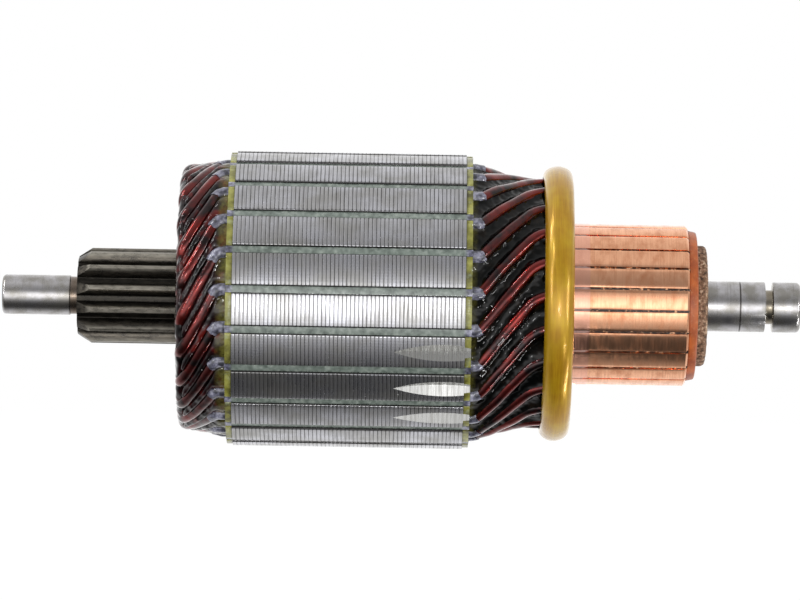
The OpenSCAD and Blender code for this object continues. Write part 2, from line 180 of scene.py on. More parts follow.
def rounded(r: float, centre: Point, start: float, stop: float, steps: int = 5) -> list[Point]:
    """Points of a round corner.

    Args:
        r: Radius of the corner.
        centre: Middle of its circle, as radius and station.
        start: First angle in degrees, from outwards towards the commutator end.
        stop: Last angle in degrees.
        steps: Number of straight pieces.

    Returns:
        The points, as radius and station.
    """
    angles = [math.radians(start + (stop - start) * k / steps) for k in range(steps + 1)]
    return [(centre[0] + r * math.cos(a), centre[1] + r * math.sin(a)) for a in angles]


def drift(place: Vector) -> Vector:
    """Gives smooth noise along each axis at a place, the same in every run."""
    apart = ((9.3, -1.5, -7.9), (0.0, 0.0, 0.0), (-1.7, 7.4, 5.1))
    return Vector([noise.noise(place + Vector(offset)) for offset in apart])


class Bench:
    """Modelling by hand with Blender's own operators, in millimetres."""

    @staticmethod
    def take(obj: bpy.types.Object) -> bpy.types.Object:
        """Selects one object alone and makes it active."""
        if bpy.context.mode != "OBJECT":
            bpy.ops.object.mode_set(mode="OBJECT")
        bpy.ops.object.select_all(action="DESELECT")
        obj.select_set(True)
        bpy.context.view_layer.objects.active = obj
        return obj

    @classmethod
    def edit(cls, obj: bpy.types.Object, selected: str = "SELECT") -> None:
        """Opens an object in edit mode, with all of it selected or nothing."""
        cls.take(obj)
        bpy.ops.object.mode_set(mode="EDIT")
        bpy.ops.mesh.select_mode(type="VERT")
        bpy.ops.mesh.select_all(action=selected)

    @classmethod
    def done(cls, obj: bpy.types.Object, weld: float = 0.002) -> bpy.types.Object:
        """Welds what meets, turns all faces outwards and leaves edit mode."""
        bpy.ops.mesh.select_all(action="SELECT")
        bpy.ops.mesh.remove_doubles(threshold=weld)
        bpy.ops.mesh.normals_make_consistent(inside=False)
        bpy.ops.object.mode_set(mode="OBJECT")
        return obj

    @staticmethod
    def pick(obj: bpy.types.Object, kind: str, wanted: Callable[..., bool]) -> None:
        """Selects the vertices, edges or faces that pass a test.

        Args:
            obj: Object in edit mode.
            kind: "verts", "edges" or "faces".
            wanted: Test of one element.
        """
        bpy.ops.mesh.select_all(action="DESELECT")
        mesh = bmesh.from_edit_mesh(obj.data)
        for element in getattr(mesh, kind):
            if wanted(element):
                element.select_set(True)
        mesh.select_flush_mode()
        bmesh.update_edit_mesh(obj.data)

    @classmethod
    def outline(cls, name: str, points: Sequence[Spot], closed: bool = True) -> bpy.types.Object:
        """Draws an outline by extruding one vertex from point to point.

        Args:
            name: Name of the new object.
            points: Corners in three dimensions.
            closed: Whether the last corner is joined to the first.

        Returns:
            The object, left in edit mode with all of it selected.
        """
        bpy.ops.mesh.primitive_circle_add(vertices=3, radius=0.1)
        obj = bpy.context.object
        obj.name = obj.data.name = name
        cls.edit(obj)
        bpy.ops.mesh.merge(type="CENTER")
        bpy.ops.transform.translate(value=Vector(points[0]))
        for here, there in zip(points, points[1:]):
            step = Vector(there) - Vector(here)
            bpy.ops.mesh.extrude_region_move(TRANSFORM_OT_translate={"value": step})
        bpy.ops.mesh.select_all(action="SELECT")
        if closed:
            ends = [Vector(points[0]), Vector(points[-1])]
            cls.pick(obj, "verts", lambda v: any((v.co - e).length < 1e-4 for e in ends))
            bpy.ops.mesh.edge_face_add()
            bpy.ops.mesh.select_all(action="SELECT")
        return obj

    @classmethod
    def lathe(cls, name: str, profile: Sequence[Point], steps: int = 192) -> bpy.types.Object:
        """Turns a closed profile of radius and station once round the shaft.

        Args:
            name: Name of the new object.
            profile: Corners of the section.
            steps: Number of facets round.

        Returns:
            The turned solid.
        """
        on_axis = profile[0][0] == 0 and profile[-1][0] == 0
        obj = cls.outline(name, [(r, 0, s) for r, s in profile], closed=not on_axis)
        bpy.ops.mesh.spin(steps=steps, angle=TURN, center=(0, 0, 0), axis=(0, 0, 1))
        return cls.done(obj)

    @staticmethod
    def raise_by(height: float) -> None:
        """Extrudes what is selected in edit mode along the shaft."""
        bpy.ops.mesh.extrude_region_move(TRANSFORM_OT_translate={"value": (0, 0, height)})

    @staticmethod
    def repeat(count: int, weld: float) -> None:
        """Copies what is selected in edit mode round the whole shaft, and welds the copies."""
        bpy.ops.mesh.spin(steps=count, dupli=True, angle=TURN, center=(0, 0, 0), axis=(0, 0, 1))
        bpy.ops.mesh.select_all(action="SELECT")
        bpy.ops.mesh.remove_doubles(threshold=weld)

    @classmethod
    def modify(cls, obj: bpy.types.Object, kind: str, **settings: object) -> bpy.types.Object:
        """Adds one modifier with its settings and applies it.

        Args:
            obj: Object to change.
            kind: Blender's name for the modifier.
            settings: Values of the modifier's own properties.

        Returns:
            The same object.
        """
        cls.take(obj)
        modifier = obj.modifiers.new(kind.title(), kind)
        for key, value in settings.items():
            setattr(modifier, key, value)
        bpy.ops.object.modifier_apply(modifier=modifier.name)
        return obj

    @classmethod
    def combine(cls, obj: bpy.types.Object, tool: bpy.types.Object, operation: str,
                keep: bool = False) -> bpy.types.Object:
        """Joins, cuts or intersects an object with a tool.

        Args:
            obj: Object that stays.
            tool: Object that acts on it.
            operation: "UNION", "DIFFERENCE" or "INTERSECT".
            keep: Whether the tool is used again.

        Returns:
            The changed object.
        """
        cls.modify(obj, "BOOLEAN", object=tool, operation=operation, solver="EXACT",
                   material_mode="TRANSFER")
        if not keep:
            bpy.data.objects.remove(tool)
        return obj

    @classmethod
    def clean(cls, obj: bpy.types.Object, size: float = 0.002) -> bpy.types.Object:
        """Closes up the slivers that a cut or a join has left, up to a size."""
        cls.edit(obj)
        bpy.ops.mesh.dissolve_degenerate(threshold=size)
        return cls.done(obj, weld=size)

    @classmethod
    def soften(cls, obj: bpy.types.Object, width: float) -> bpy.types.Object:
        """Breaks every edge sharper than 30 degrees with a small bevel."""
        return cls.modify(obj, "BEVEL", width=width, segments=2, limit_method="ANGLE",
                          angle_limit=math.radians(30), use_clamp_overlap=True)

    @classmethod
    def twin(cls, obj: bpy.types.Object, name: str) -> bpy.types.Object:
        """Copies an object with a mesh of its own."""
        cls.take(obj)
        bpy.ops.object.duplicate(linked=False)
        copy = bpy.context.object
        copy.name = copy.data.name = name
        return copy

    @classmethod
    def join(cls, name: str, objs: Sequence[bpy.types.Object]) -> bpy.types.Object:
        """Makes several bench objects one, and names it."""
        cls.take(objs[0])
        for obj in objs:
            obj.select_set(True)
        if len(objs) > 1:
            bpy.ops.object.join()
        joined = bpy.context.object
        joined.name = joined.data.name = name
        return joined

    @classmethod
    def move(cls, obj: bpy.types.Object, way: Matrix) -> None:
        """Moves an object's mesh by a matrix, and leaves the object itself at the origin."""
        cls.take(obj)
        obj.matrix_world = way
        bpy.ops.object.transform_apply(location=True, rotation=True, scale=True)

    @classmethod
    def turn(cls, obj: bpy.types.Object, angle: float) -> None:
        """Turns a bench object about the shaft, by an angle in degrees."""
        cls.move(obj, Matrix.Rotation(math.radians(angle), 4, "Z"))

    @classmethod
    def shift(cls, obj: bpy.types.Object, distance: float) -> None:
        """Moves a bench object along the shaft."""
        cls.move(obj, Matrix.Translation((0, 0, distance)))

    @classmethod
    def lay(cls, obj: bpy.types.Object, length: float, angle: float) -> None:
        """Lays a bench piece on the shaft of the frame, in metres.

        Args:
            obj: Piece on the bench.
            length: Length of the shaft.
            angle: Angle about the shaft, in degrees.
        """
        cls.move(obj, Matrix.Scale(MM, 4)
                 @ Matrix.Rotation(math.radians(90), 4, "Y")
                 @ Matrix.Rotation(math.radians(angle - 90), 4, "Z")
                 @ Matrix.Translation((0, 0, -length / 2)))

    @classmethod
    def smooth(cls, obj: bpy.types.Object, angle: float) -> None:
        """Shades an object smooth across edges flatter than an angle in degrees."""
        cls.take(obj)
        bpy.ops.object.shade_smooth_by_angle(angle=math.radians(angle))


# ---------------------------------------------------------------- materials


def colour(code: str) -> tuple[float, float, float, float]:
    """Turns an sRGB hex colour into Blender's linear colour.

    Args:
        code: Colour such as "#A0B1C2".

    Returns:
        Red, green, blue and alpha.
    """
    channels = [int(code[k:k + 2], 16) / 255 for k in (1, 3, 5)]
    linear = [c / 12.92 if c <= 0.04045 else ((c + 0.055) / 1.055) ** 2.4 for c in channels]
    return (*linear, 1.0)


class Tree:
    """A material's or the world's node tree."""

    def __init__(self, owner: bpy.types.Material | bpy.types.World) -> None:
        """Empties the owner's tree.

        Args:
            owner: Material or world that the nodes belong to.
        """
        owner.use_nodes = True
        self.nodes = owner.node_tree.nodes
        self.links = owner.node_tree.links
        self.nodes.clear()

    def add(self, kind: str, *inputs: object, out: int | str = 0,
            **settings: object) -> bpy.types.NodeSocket:
        """Adds one node with its settings and links.

        Args:
            kind: Blender's type name, without its "ShaderNode" prefix.
            inputs: Values or sockets for the first inputs in order. None leaves one as it is.
            out: Index or name of the output to return.
            settings: Properties of the node, or inputs by name with "in_" before them.

        Returns:
            The chosen output socket.
        """
        node = self.nodes.new("ShaderNode" + kind)
        values = dict(enumerate(inputs))
        for key, value in settings.items():
            if key.startswith("in_"):
                values[key[3:].replace("_", " ")] = value
            else:
                setattr(node, key, value)
        for key, value in values.items():
            socket = node.inputs[key]
            if isinstance(value, bpy.types.NodeSocket):
                self.links.new(value, socket)
            elif value is not None:
                socket.default_value = value
        return node.outputs[out] if node.outputs else None

    def math(self, operation: str, *inputs: object) -> bpy.types.NodeSocket:
        """Adds a Math node and returns its result."""
        return self.add("Math", *inputs, operation=operation)

    def ramp(self, factor: bpy.types.NodeSocket,
             *stops: tuple[float, object]) -> bpy.types.NodeSocket:
        """Adds a colour ramp.

        Args:
            factor: Value that the ramp reads.
            stops: Places from 0 to 1, each with a hex colour or a grey level.

        Returns:
            The ramp's colour.
        """
        socket = self.add("ValToRGB", factor)
        ramp = socket.node.color_ramp
        while len(ramp.elements) < len(stops):
            ramp.elements.new(0.5)
        for element, (place, value) in zip(ramp.elements, stops):
            element.position = place
            element.color = colour(value) if isinstance(value, str) else (value, value, value, 1)
        return socket

    def mix(self, factor: object, first: object, second: object) -> bpy.types.NodeSocket:
        """Mixes two colours, each a hex code or a socket, and returns the result."""
        ends = [colour(c) if isinstance(c, str) else c for c in (first, second)]
        # the Mix node holds its number, vector and colour inputs side by side
        return self.add("Mix", factor, *[None] * 5, *ends, data_type="RGBA", out=2)

    def noise(self, where: bpy.types.NodeSocket, size: float, detail: float = 3,
              stretch: Spot = (1, 1, 1), roughness: float = 0.55) -> bpy.types.NodeSocket:
        """Adds noise whose lumps are about one size, in millimetres.

        Args:
            where: Coordinates in metres.
            size: Size of a lump across.
            detail: Octaves of finer noise.
            stretch: How much longer the lumps are along each axis.
            roughness: Strength of the finer octaves.

        Returns:
            The noise, from 0 to 1.
        """
        scaled = self.add("Mapping", where, in_Scale=[1 / (size * MM * k) for k in stretch])
        return self.add("TexNoise", scaled, in_Scale=1.0, in_Detail=detail, in_Roughness=roughness)

    def shaft_coordinates(self) -> dict[str, bpy.types.NodeSocket]:
        """Gives places on the shaft.

        Returns:
            The place, its x and its radius, in metres, and the angle about the shaft in radians,
            which starts at -Y and turns towards +Z.
        """
        place = self.add("TexCoord", out="Object")
        apart = self.add("SeparateXYZ", place)
        x, y, z = apart.node.outputs
        angle = self.math("ARCTAN2", z, self.math("MULTIPLY", y, -1.0))
        square = self.math("ADD", self.math("MULTIPLY", y, y), self.math("MULTIPLY", z, z))
        return {"place": place, "x": x, "angle": angle, "radius": self.math("SQRT", square)}

    def unrolled(self, at: dict[str, bpy.types.NodeSocket], radius: float) -> bpy.types.NodeSocket:
        """Unrolls a cylinder of a radius in millimetres, as x and the way round in metres."""
        around = self.math("MULTIPLY", at["angle"], radius * MM)
        return self.add("CombineXYZ", at["x"], around, 0.0)

    def level(self, value: bpy.types.NodeSocket, low: float, high: float,
              top: float = 1.0) -> bpy.types.NodeSocket:
        """Gives 0 below one level of a value and a top amount above another."""
        return self.add("MapRange", value, low, high, 0.0, top)

    def band(self, value: bpy.types.NodeSocket, low: float, high: float,
             soft: float) -> bpy.types.NodeSocket:
        """Gives 1 where a value lies between two limits, with soft edges."""
        rise = self.add("MapRange", value, low - soft, low + soft, 0.0, 1.0)
        fall = self.add("MapRange", value, high - soft, high + soft, 1.0, 0.0)
        return self.math("MULTIPLY", rise, fall)

    def bump(self, height: bpy.types.NodeSocket, depth: float) -> bpy.types.NodeSocket:
        """Adds a bump whose full height is a depth in millimetres."""
        return self.add("Bump", 1.0, depth * MM, in_Height=height)

    def finish(self, **inputs: object) -> None:
        """Adds the surface shader and the output.

        Args:
            inputs: The shader's inputs by name, with "_" for a space.
        """
        named = {"in_" + key: value for key, value in inputs.items()}
        surface = self.add("BsdfPrincipled", **named)
        self.add("OutputMaterial", surface)


class Finish(ABC):
    """A real material with its surface."""

    name: str

    def material(self) -> bpy.types.Material:
        """Builds the material once and returns it.

        Returns:
            The material.
        """
        made = bpy.data.materials.get(self.name)
        if made is None:
            made = bpy.data.materials.new(self.name)
            self.build(Tree(made))
        return made

    @abstractmethod
    def build(self, tree: Tree) -> None:
        """Adds the finish's nodes to an empty tree."""


@dataclass(frozen=True)
class GroundSteel(Finish):
    """Case-hardened steel, ground between centres: bright, with fine lines round the shaft.

    Attributes:
        relief: Stations of the grinding relief beside the gear.
        mark: Station of the line that a bearing has worn in the journal.
        groove: Stations of the circlip groove.
        origin: Place of the drive-end tip, in millimetres along X.
    """

    name: str = "ground_shaft_steel"
    relief: Point = (13.4, 15.3)
    mark: float = 147.2
    groove: Point = (152.4, 153.8)
    origin: float = 0.0

    def build(self, tree: Tree) -> None:
        """Adds the finish's nodes to an empty tree."""
        at = tree.shaft_coordinates()
        around = tree.unrolled(at, 5)
        # grinding lines, drawn coarser than a wheel's grit so that they show
        lines = tree.noise(around, 0.3, detail=3, stretch=(1, 70, 1))
        clouds = tree.noise(at["place"], 2.8, detail=5)
        steel = tree.mix(tree.level(clouds, 0.38, 0.62), "#B9B7B9", "#989590")
        steel = tree.mix(tree.level(lines, 0.55, 0.75, 0.35), steel, "#6F6C69")
        # the relief is browned by heat, and old oil lies in the circlip groove
        for span, soft, amount, tint in ((self.relief, 0.0003, 0.75, "#65523F"),
                                         (self.groove, 0.0001, 0.7, "#7C7058")):
            low, high = ((s + self.origin) * MM for s in span)
            there = tree.math("MULTIPLY", tree.band(at["x"], low, high, soft), amount)
            steel = tree.mix(there, steel, tint)
        line = (self.mark + self.origin) * MM
        half = 0.13 * MM
        steel = tree.mix(tree.band(at["x"], line - half, line + half, 0.0001), steel, "#38332F")
        rough = tree.add("MapRange", clouds, 0.3, 0.7, 0.2, 0.32)
        tree.finish(Base_Color=steel, Metallic=1.0, Roughness=rough,
                    Normal=tree.bump(lines, 0.003))


@dataclass(frozen=True)
class GearSteel(Finish):
    """Hobbed and phosphated steel: dark grey-brown flanks, with painted shade in the roots, and the
    tooth tips painted bright as wear and as a painted highlight.
    """

    name: str = "phosphated_steel"
    tip_r: float = 9.4

    def build(self, tree: Tree) -> None:
        """Adds the finish's nodes to an empty tree."""
        at = tree.shaft_coordinates()
        grain = tree.noise(at["place"], 0.6, detail=4, stretch=(3, 1, 1))
        dark = tree.mix(tree.level(grain, 0.35, 0.65), "#3A3733", "#5A554D")
        # painted shade darkens the roots, and the tips are painted bright, partly as wear and
        # partly as a painted highlight
        root, flank, worn = ((self.tip_r - depth) * MM for depth in (2.1, 0.9, 0.5))
        # painted shade: darker towards the roots between the teeth
        root_shade = tree.add("MapRange", at["radius"], root, flank, 0.8, 0.0)
        dark = tree.mix(root_shade, dark, "#12110F")
        worn = tree.add("MapRange", at["radius"], worn, self.tip_r * MM, 0.0, 0.75)
        # the tips painted bright stand for wear and for a painted highlight
        tip_wear_and_highlight = tree.math("MULTIPLY", worn, tree.add("MapRange", grain, 0.35, 0.6, 0.6, 1.0))
        steel = tree.mix(tip_wear_and_highlight, dark, "#A09B90")
        rough = tree.add("MapRange", grain, 0.3, 0.7, 0.24, 0.36)
        tree.finish(Base_Color=steel, Metallic=0.9, Roughness=rough, Normal=tree.bump(grain, 0.006))


@dataclass(frozen=True)
class CoreSteel(Finish):
    """Stamped electrical steel, turned outside: satin grey ridges, with painted shade as a dark
    line at each seam.
    """

    name: str = "turned_core_steel"
    radius: float = 29.4
    pitch: float = 0.8
    start: float = 0.0
    slots: int = 23
    slot_phase: float = -3.55

    def build(self, tree: Tree) -> None:
        """Adds the finish's nodes to an empty tree."""
        at = tree.shaft_coordinates()
        around = tree.unrolled(at, self.radius)
        stains = tree.noise(around, 6, detail=5, stretch=(1.6, 1, 1))
        steel = tree.mix(tree.level(stains, 0.38, 0.62), "#C4C4CA", "#AAA9A8")
        streaks = tree.noise(around, 1.3, detail=4, stretch=(0.3, 5, 1))
        steel = tree.mix(tree.level(streaks, 0.48, 0.72, 0.42), steel, "#66635E")
        along = tree.math("SUBTRACT", at["x"], self.start * MM)
        phase = tree.math("DIVIDE", along, self.pitch * MM)
        edge = tree.math("ABSOLUTE", tree.math("SUBTRACT", tree.math("FRACT", phase), 0.5))
        # the painted shade at the seams widens towards each slot, where the stamped corners are
        # rounded off
        step = math.radians(360 / self.slots)
        turned = tree.math("ADD", at["angle"], math.radians(self.slot_phase))
        tooth = tree.math("DIVIDE", turned, step)
        aside = tree.math("ABSOLUTE", tree.math("SUBTRACT", tree.math("FRACT", tooth), 0.5))
        corner = tree.add("MapRange", aside, 0.33, 0.425, 0.0, 1.0)
        wide = tree.math("MULTIPLY", tree.math("MULTIPLY", corner, corner), 0.26)
        uneven = tree.math("MULTIPLY", tree.math("SUBTRACT", streaks, 0.5), 0.12)
        edge = tree.math("ADD", tree.math("ADD", edge, wide), uneven)
        # painted shade along each seam between the plates
        seam_shade = tree.add("MapRange", edge, 0.35, 0.44, 0.0, 0.74)
        # painted shade darkens the plates' sides below the turned skin
        skin, deep = ((self.radius - depth) * MM for depth in (0.008, 0.12))
        wall_shade = tree.add("MapRange", at["radius"], deep, skin, 0.92, 0.0)
        # the painted shade of the seams and of the plates' sides goes on in one dark colour
        steel = tree.mix(tree.math("MAXIMUM", seam_shade, wall_shade), steel, "#302F2E")
        lines = tree.noise(around, 0.1, detail=2, stretch=(1, 60, 1))
        rough = tree.add("MapRange", tree.math("ADD", streaks, stains), 0.7, 1.3, 0.21, 0.36)
        tree.finish(Base_Color=steel, Metallic=1.0, Roughness=rough, Normal=tree.bump(lines, 0.006))


@dataclass(frozen=True)
class MilledSteel(Finish):
    """Electrical steel milled across the plates: bright, with the cutter's fine lines."""

    name: str = "milled_steel"
    radius: float = 28.5

    def build(self, tree: Tree) -> None:
        """Adds the finish's nodes to an empty tree."""
        at = tree.shaft_coordinates()
        around = tree.unrolled(at, self.radius)
        lines = tree.noise(around, 0.45, detail=3, stretch=(0.8, 9, 1))
        steel = tree.mix(tree.level(lines, 0.42, 0.62, 0.5), "#BCBCBA", "#817F7B")
        rough = tree.add("MapRange", lines, 0.3, 0.7, 0.2, 0.4)
        tree.finish(Base_Color=steel, Metallic=1.0, Roughness=rough, Normal=tree.bump(lines, 0.008))


@dataclass(frozen=True)
class InsulatingBoard(Finish):
    """Olive insulating board soaked with winding resin: semi-gloss, stained in patches."""

    name: str = "resin_soaked_board"

    def build(self, tree: Tree) -> None:
        """Adds the finish's nodes to an empty tree."""
        at = tree.shaft_coordinates()
        patches = tree.noise(at["place"], 3.2, detail=5)
        board = tree.ramp(patches, (0.34, "#45420F"), (0.48, "#75732A"), (0.62, "#94934A"))
        resin = tree.noise(at["place"], 1.4, detail=3)
        board = tree.mix(tree.level(resin, 0.55, 0.7, 0.55), board, "#8B9478")
        tree.finish(Base_Color=board, Roughness=0.42, Coat_Weight=0.4, Coat_Roughness=0.15,
                    Normal=tree.bump(resin, 0.08))


@dataclass(frozen=True)
class LinerPaper(Finish):
    """Insulating paper soaked with resin: grey-green in the slot mouths, lilac-grey outside."""

    name: str = "resin_soaked_paper"
    core: Point = (0.0, 0.0)

    def build(self, tree: Tree) -> None:
        """Adds the finish's nodes to an empty tree."""
        at = tree.shaft_coordinates()
        mottle = tree.noise(at["place"], 1.1, detail=5)
        mouth = tree.ramp(mottle, (0.32, "#4C564F"), (0.5, "#69736C"), (0.68, "#868F87"))
        cuff = tree.ramp(mottle, (0.38, "#2E2E3A"), (0.5, "#5C5C6E"), (0.66, "#9C9CAE"))
        inside = tree.band(at["x"], self.core[0] * MM, self.core[1] * MM, 0.0004)
        paper = tree.mix(inside, cuff, mouth)
        tree.finish(Base_Color=paper, Roughness=0.4, Coat_Weight=0.9, Coat_Roughness=0.06,
                    Normal=tree.bump(mottle, 0.12))


@dataclass(frozen=True)
class EnamelledWire(Finish):
    """Copper wire under dark red enamel and clear resin: red metal glow under a wet gloss."""

    name: str = "enamelled_copper_wire"

    def build(self, tree: Tree) -> None:
        """Adds the finish's nodes to an empty tree."""
        at = tree.shaft_coordinates()
        clouds = tree.noise(at["place"], 5, detail=3)
        enamel = tree.mix(tree.level(clouds, 0.38, 0.64), "#170406", "#72160F")
        lumps = tree.noise(at["place"], 2.4, detail=1)
        tree.finish(Base_Color=enamel, Metallic=0.9, Roughness=0.22, Coat_Weight=1.0,
                    Coat_Roughness=0.02, Coat_IOR=1.38, Coat_Normal=tree.bump(lumps, 0.14),
                    Normal=tree.bump(lumps, 0.06))


@dataclass(frozen=True)
class WindingResin(Finish):
    """Cured dip resin between the wires: almost black in its depth, with a wet surface."""

    name: str = "winding_resin"
    discs: Point = (0.0, 0.0)
    wine: float = 0.0
    ior: float = 1.3

    def build(self, tree: Tree) -> None:
        """Adds the finish's nodes to an empty tree."""
        at = tree.shaft_coordinates()
        depth = tree.noise(at["place"], 3.0, detail=3)
        resin = tree.ramp(depth, (0.4, "#020303"), (0.56, "#070706"), (0.7, "#16100B"))
        # over the wires the red of their enamel shows through
        streaks = tree.noise(at["place"], 4.0, detail=2)
        glow = tree.ramp(streaks, (0.42, "#060203"), (0.56, "#23060A"), (0.68, "#5C120E"))
        resin = tree.mix(self.wine, resin, glow)
        # where it is thin, over the insulating discs, the resin lets their olive through
        low, high = (x * MM for x in self.discs)
        thin = tree.band(at["x"], low - 2.2 * MM, high + 1.2 * MM, 1.2 * MM)
        mottle = tree.noise(at["place"], 0.9, detail=4)
        thin = tree.math("MULTIPLY", thin, tree.add("MapRange", mottle, 0.4, 0.6, 0.35, 1.0))
        resin = tree.mix(thin, resin, "#69652C")
        ripples = tree.noise(at["place"], 2.3, detail=1)
        tree.finish(Base_Color=resin, Roughness=0.02, IOR=self.ior, Normal=tree.bump(ripples, 0.55))


@dataclass(frozen=True)
class GlassBanding(Finish):
    """Glass roving wound in mustard resin: glossy, with threads 0.3 mm apart round the ring."""

    name: str = "wound_glass_roving"
    radius: float = 26.5

    def build(self, tree: Tree) -> None:
        """Adds the finish's nodes to an empty tree."""
        at = tree.shaft_coordinates()
        around = tree.unrolled(at, self.radius)
        threads = tree.noise(around, 0.4, detail=3, stretch=(1, 22, 1))
        clouds = tree.noise(around, 5, detail=4)
        amber = tree.ramp(threads, (0.32, "#9C720B"), (0.5, "#A87D0E"), (0.68, "#B48A16"))
        amber = tree.mix(tree.level(clouds, 0.42, 0.66, 0.4), amber, "#BFA31C")
        # the glass threads under the resin glint like metal, so the base is part metallic
        tree.finish(Base_Color=amber, Metallic=0.4, Roughness=0.27, Coat_Weight=0.5,
                    Coat_Roughness=0.07, Coat_IOR=1.32, Normal=tree.bump(threads, 0.016),
                    Coat_Normal=tree.bump(clouds, 0.2))


@dataclass(frozen=True)
class CommutatorCopper(Finish):
    """Silver-bearing copper, turned true: salmon-pink, with turning lines and brown patches."""

    name: str = "turned_silver_copper"
    radius: float = 16.0
    track: float = 0.0

    def build(self, tree: Tree) -> None:
        """Adds the finish's nodes to an empty tree."""
        at = tree.shaft_coordinates()
        around = tree.unrolled(at, self.radius)
        # turning lines, drawn coarser than the tool's feed so that they show
        lines = tree.noise(around, 0.34, detail=3, stretch=(1, 30, 1), roughness=0.7)
        film = tree.noise(around, 2.0, detail=6, stretch=(1, 1.8, 1))
        copper = tree.mix(tree.level(film, 0.46, 0.7, 0.6), "#F6B892", "#BC6F45")
        copper = tree.mix(tree.level(lines, 0.42, 0.7, 0.5), copper, "#C88A66")
        # the neck, which no brush touches, is paler
        edge = ((self.track - 0.1) * MM, (self.track + 0.1) * MM)
        neck = tree.add("MapRange", at["x"], *edge, 0.7, 0.0)
        copper = tree.mix(neck, copper, "#EDB09A")
        rough = tree.add("MapRange", tree.math("ADD", lines, film), 0.75, 1.25, 0.1, 0.26)
        tree.finish(Base_Color=copper, Metallic=1.0, Roughness=rough,
                    Normal=tree.bump(lines, 0.006))


@dataclass(frozen=True)
class GapMicaDustAndGlints(Finish):
    """Mica strip, undercut between the bars: dark, with burrs and copper dust, whose pale specks
    are painted on as glints.
    """

    name: str = "undercut_mica"
    track: float = 0.0

    def build(self, tree: Tree) -> None:
        """Adds the finish's nodes to an empty tree."""
        at = tree.shaft_coordinates()
        specks = tree.noise(at["place"], 0.5, detail=3, stretch=(1.6, 1, 1))
        # the palest specks are painted glints on the burrs and the copper dust
        mica = tree.ramp(specks, (0.42, "#1D1310"), (0.56, "#4A3226"), (0.66, "#E0B48C"))
        edge = ((self.track - 0.1) * MM, (self.track + 0.1) * MM)
        neck = tree.add("MapRange", at["x"], *edge, 0.85, 0.0)
        mica = tree.mix(neck, mica, "#A58880")
        tree.finish(Base_Color=mica, Roughness=0.4, Normal=tree.bump(specks, 0.2))


@dataclass(frozen=True)
class Phenolic(Finish):
    """Glass-filled phenolic, moulded: orange-brown, satin, with fine pale filler."""

    name: str = "moulded_phenolic"

    def build(self, tree: Tree) -> None:
        """Adds the finish's nodes to an empty tree."""
        at = tree.shaft_coordinates()
        filler = tree.noise(at["place"], 0.5, detail=4)
        clouds = tree.noise(at["place"], 3, detail=4)
        brown = tree.mix(tree.level(clouds, 0.36, 0.64), "#8C3F16", "#B05A24")
        brown = tree.mix(tree.level(filler, 0.56, 0.7, 0.5), brown, "#B97C52")
        tree.finish(Base_Color=brown, Roughness=0.42, Normal=tree.bump(filler, 0.02))


@dataclass(frozen=True)
class GranularMoulding(Finish):
    """Coarse mineral-filled moulding, sintered: rough, brown, with pale and dark grains."""

    name: str = "granular_moulding"

    def build(self, tree: Tree) -> None:
        """Adds the finish's nodes to an empty tree."""
        at = tree.shaft_coordinates()
        grains = tree.noise(at["place"], 0.7, detail=4, roughness=0.7)
        brown = tree.ramp(grains, (0.38, "#35251A"), (0.48, "#775840"), (0.56, "#92725A"),
                          (0.66, "#CDB79C"))
        tree.finish(Base_Color=brown, Roughness=0.75, Normal=tree.bump(grains, 0.12))


# ---------------------------------------------------------------- sub-assemblies


class SubAssembly(ABC):
    """A group of pieces that ride on the rotor."""

    sizes: Sizes

    @abstractmethod
    def build(self) -> list[bpy.types.Object]:
        """Models the pieces, dresses them and returns them."""

    def fit(self, obj: bpy.types.Object, slot: str, *nodes: str, smooth: float,
            angle: float | None = None) -> bpy.types.Object:
        """Lays a bench piece on the shaft and puts it into the frame.

        Args:
            obj: Finished piece on the bench.
            slot: Name of the record's material slot; not used.
            nodes: Frame nodes that the piece stands for.
            smooth: Angle in degrees up to which its edges are shaded smooth.
            angle: Angle about the shaft in degrees. None is the angle of the first slot.

        Returns:
            The same piece.
        """
        Bench.lay(obj, self.sizes.length, self.sizes.slot_phase if angle is None else angle)
        Bench.smooth(obj, smooth)
        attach(obj, "root")
        if nodes:
            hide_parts(*nodes)
        LOG.info("%s: %d faces", obj.name, len(obj.data.polygons))
        return obj

    def copies(self, first: bpy.types.Object, name: str) -> Iterator[tuple[str, bpy.types.Object]]:
        """Copies a bench piece from slot to slot, and removes the first one at the end.

        Args:
            first: Piece for the first slot.
            name: Start of the copies' names.

        Yields:
            The number of each slot as two digits, and the copy turned to it.
        """
        for k in range(self.sizes.slots):
            number = f"{k + 1:02d}"
            copy = Bench.twin(first, f"{name}_{number}")
            Bench.turn(copy, k * self.sizes.slot_step)
            yield number, copy
        bpy.data.objects.remove(first)

    @staticmethod
    def dress(obj: bpy.types.Object, *finishes: Finish) -> None:
        """Gives an object its finishes, in the order of its material slots."""
        obj.data.materials.clear()
        for finish in finishes:
            obj.data.materials.append(finish.material())


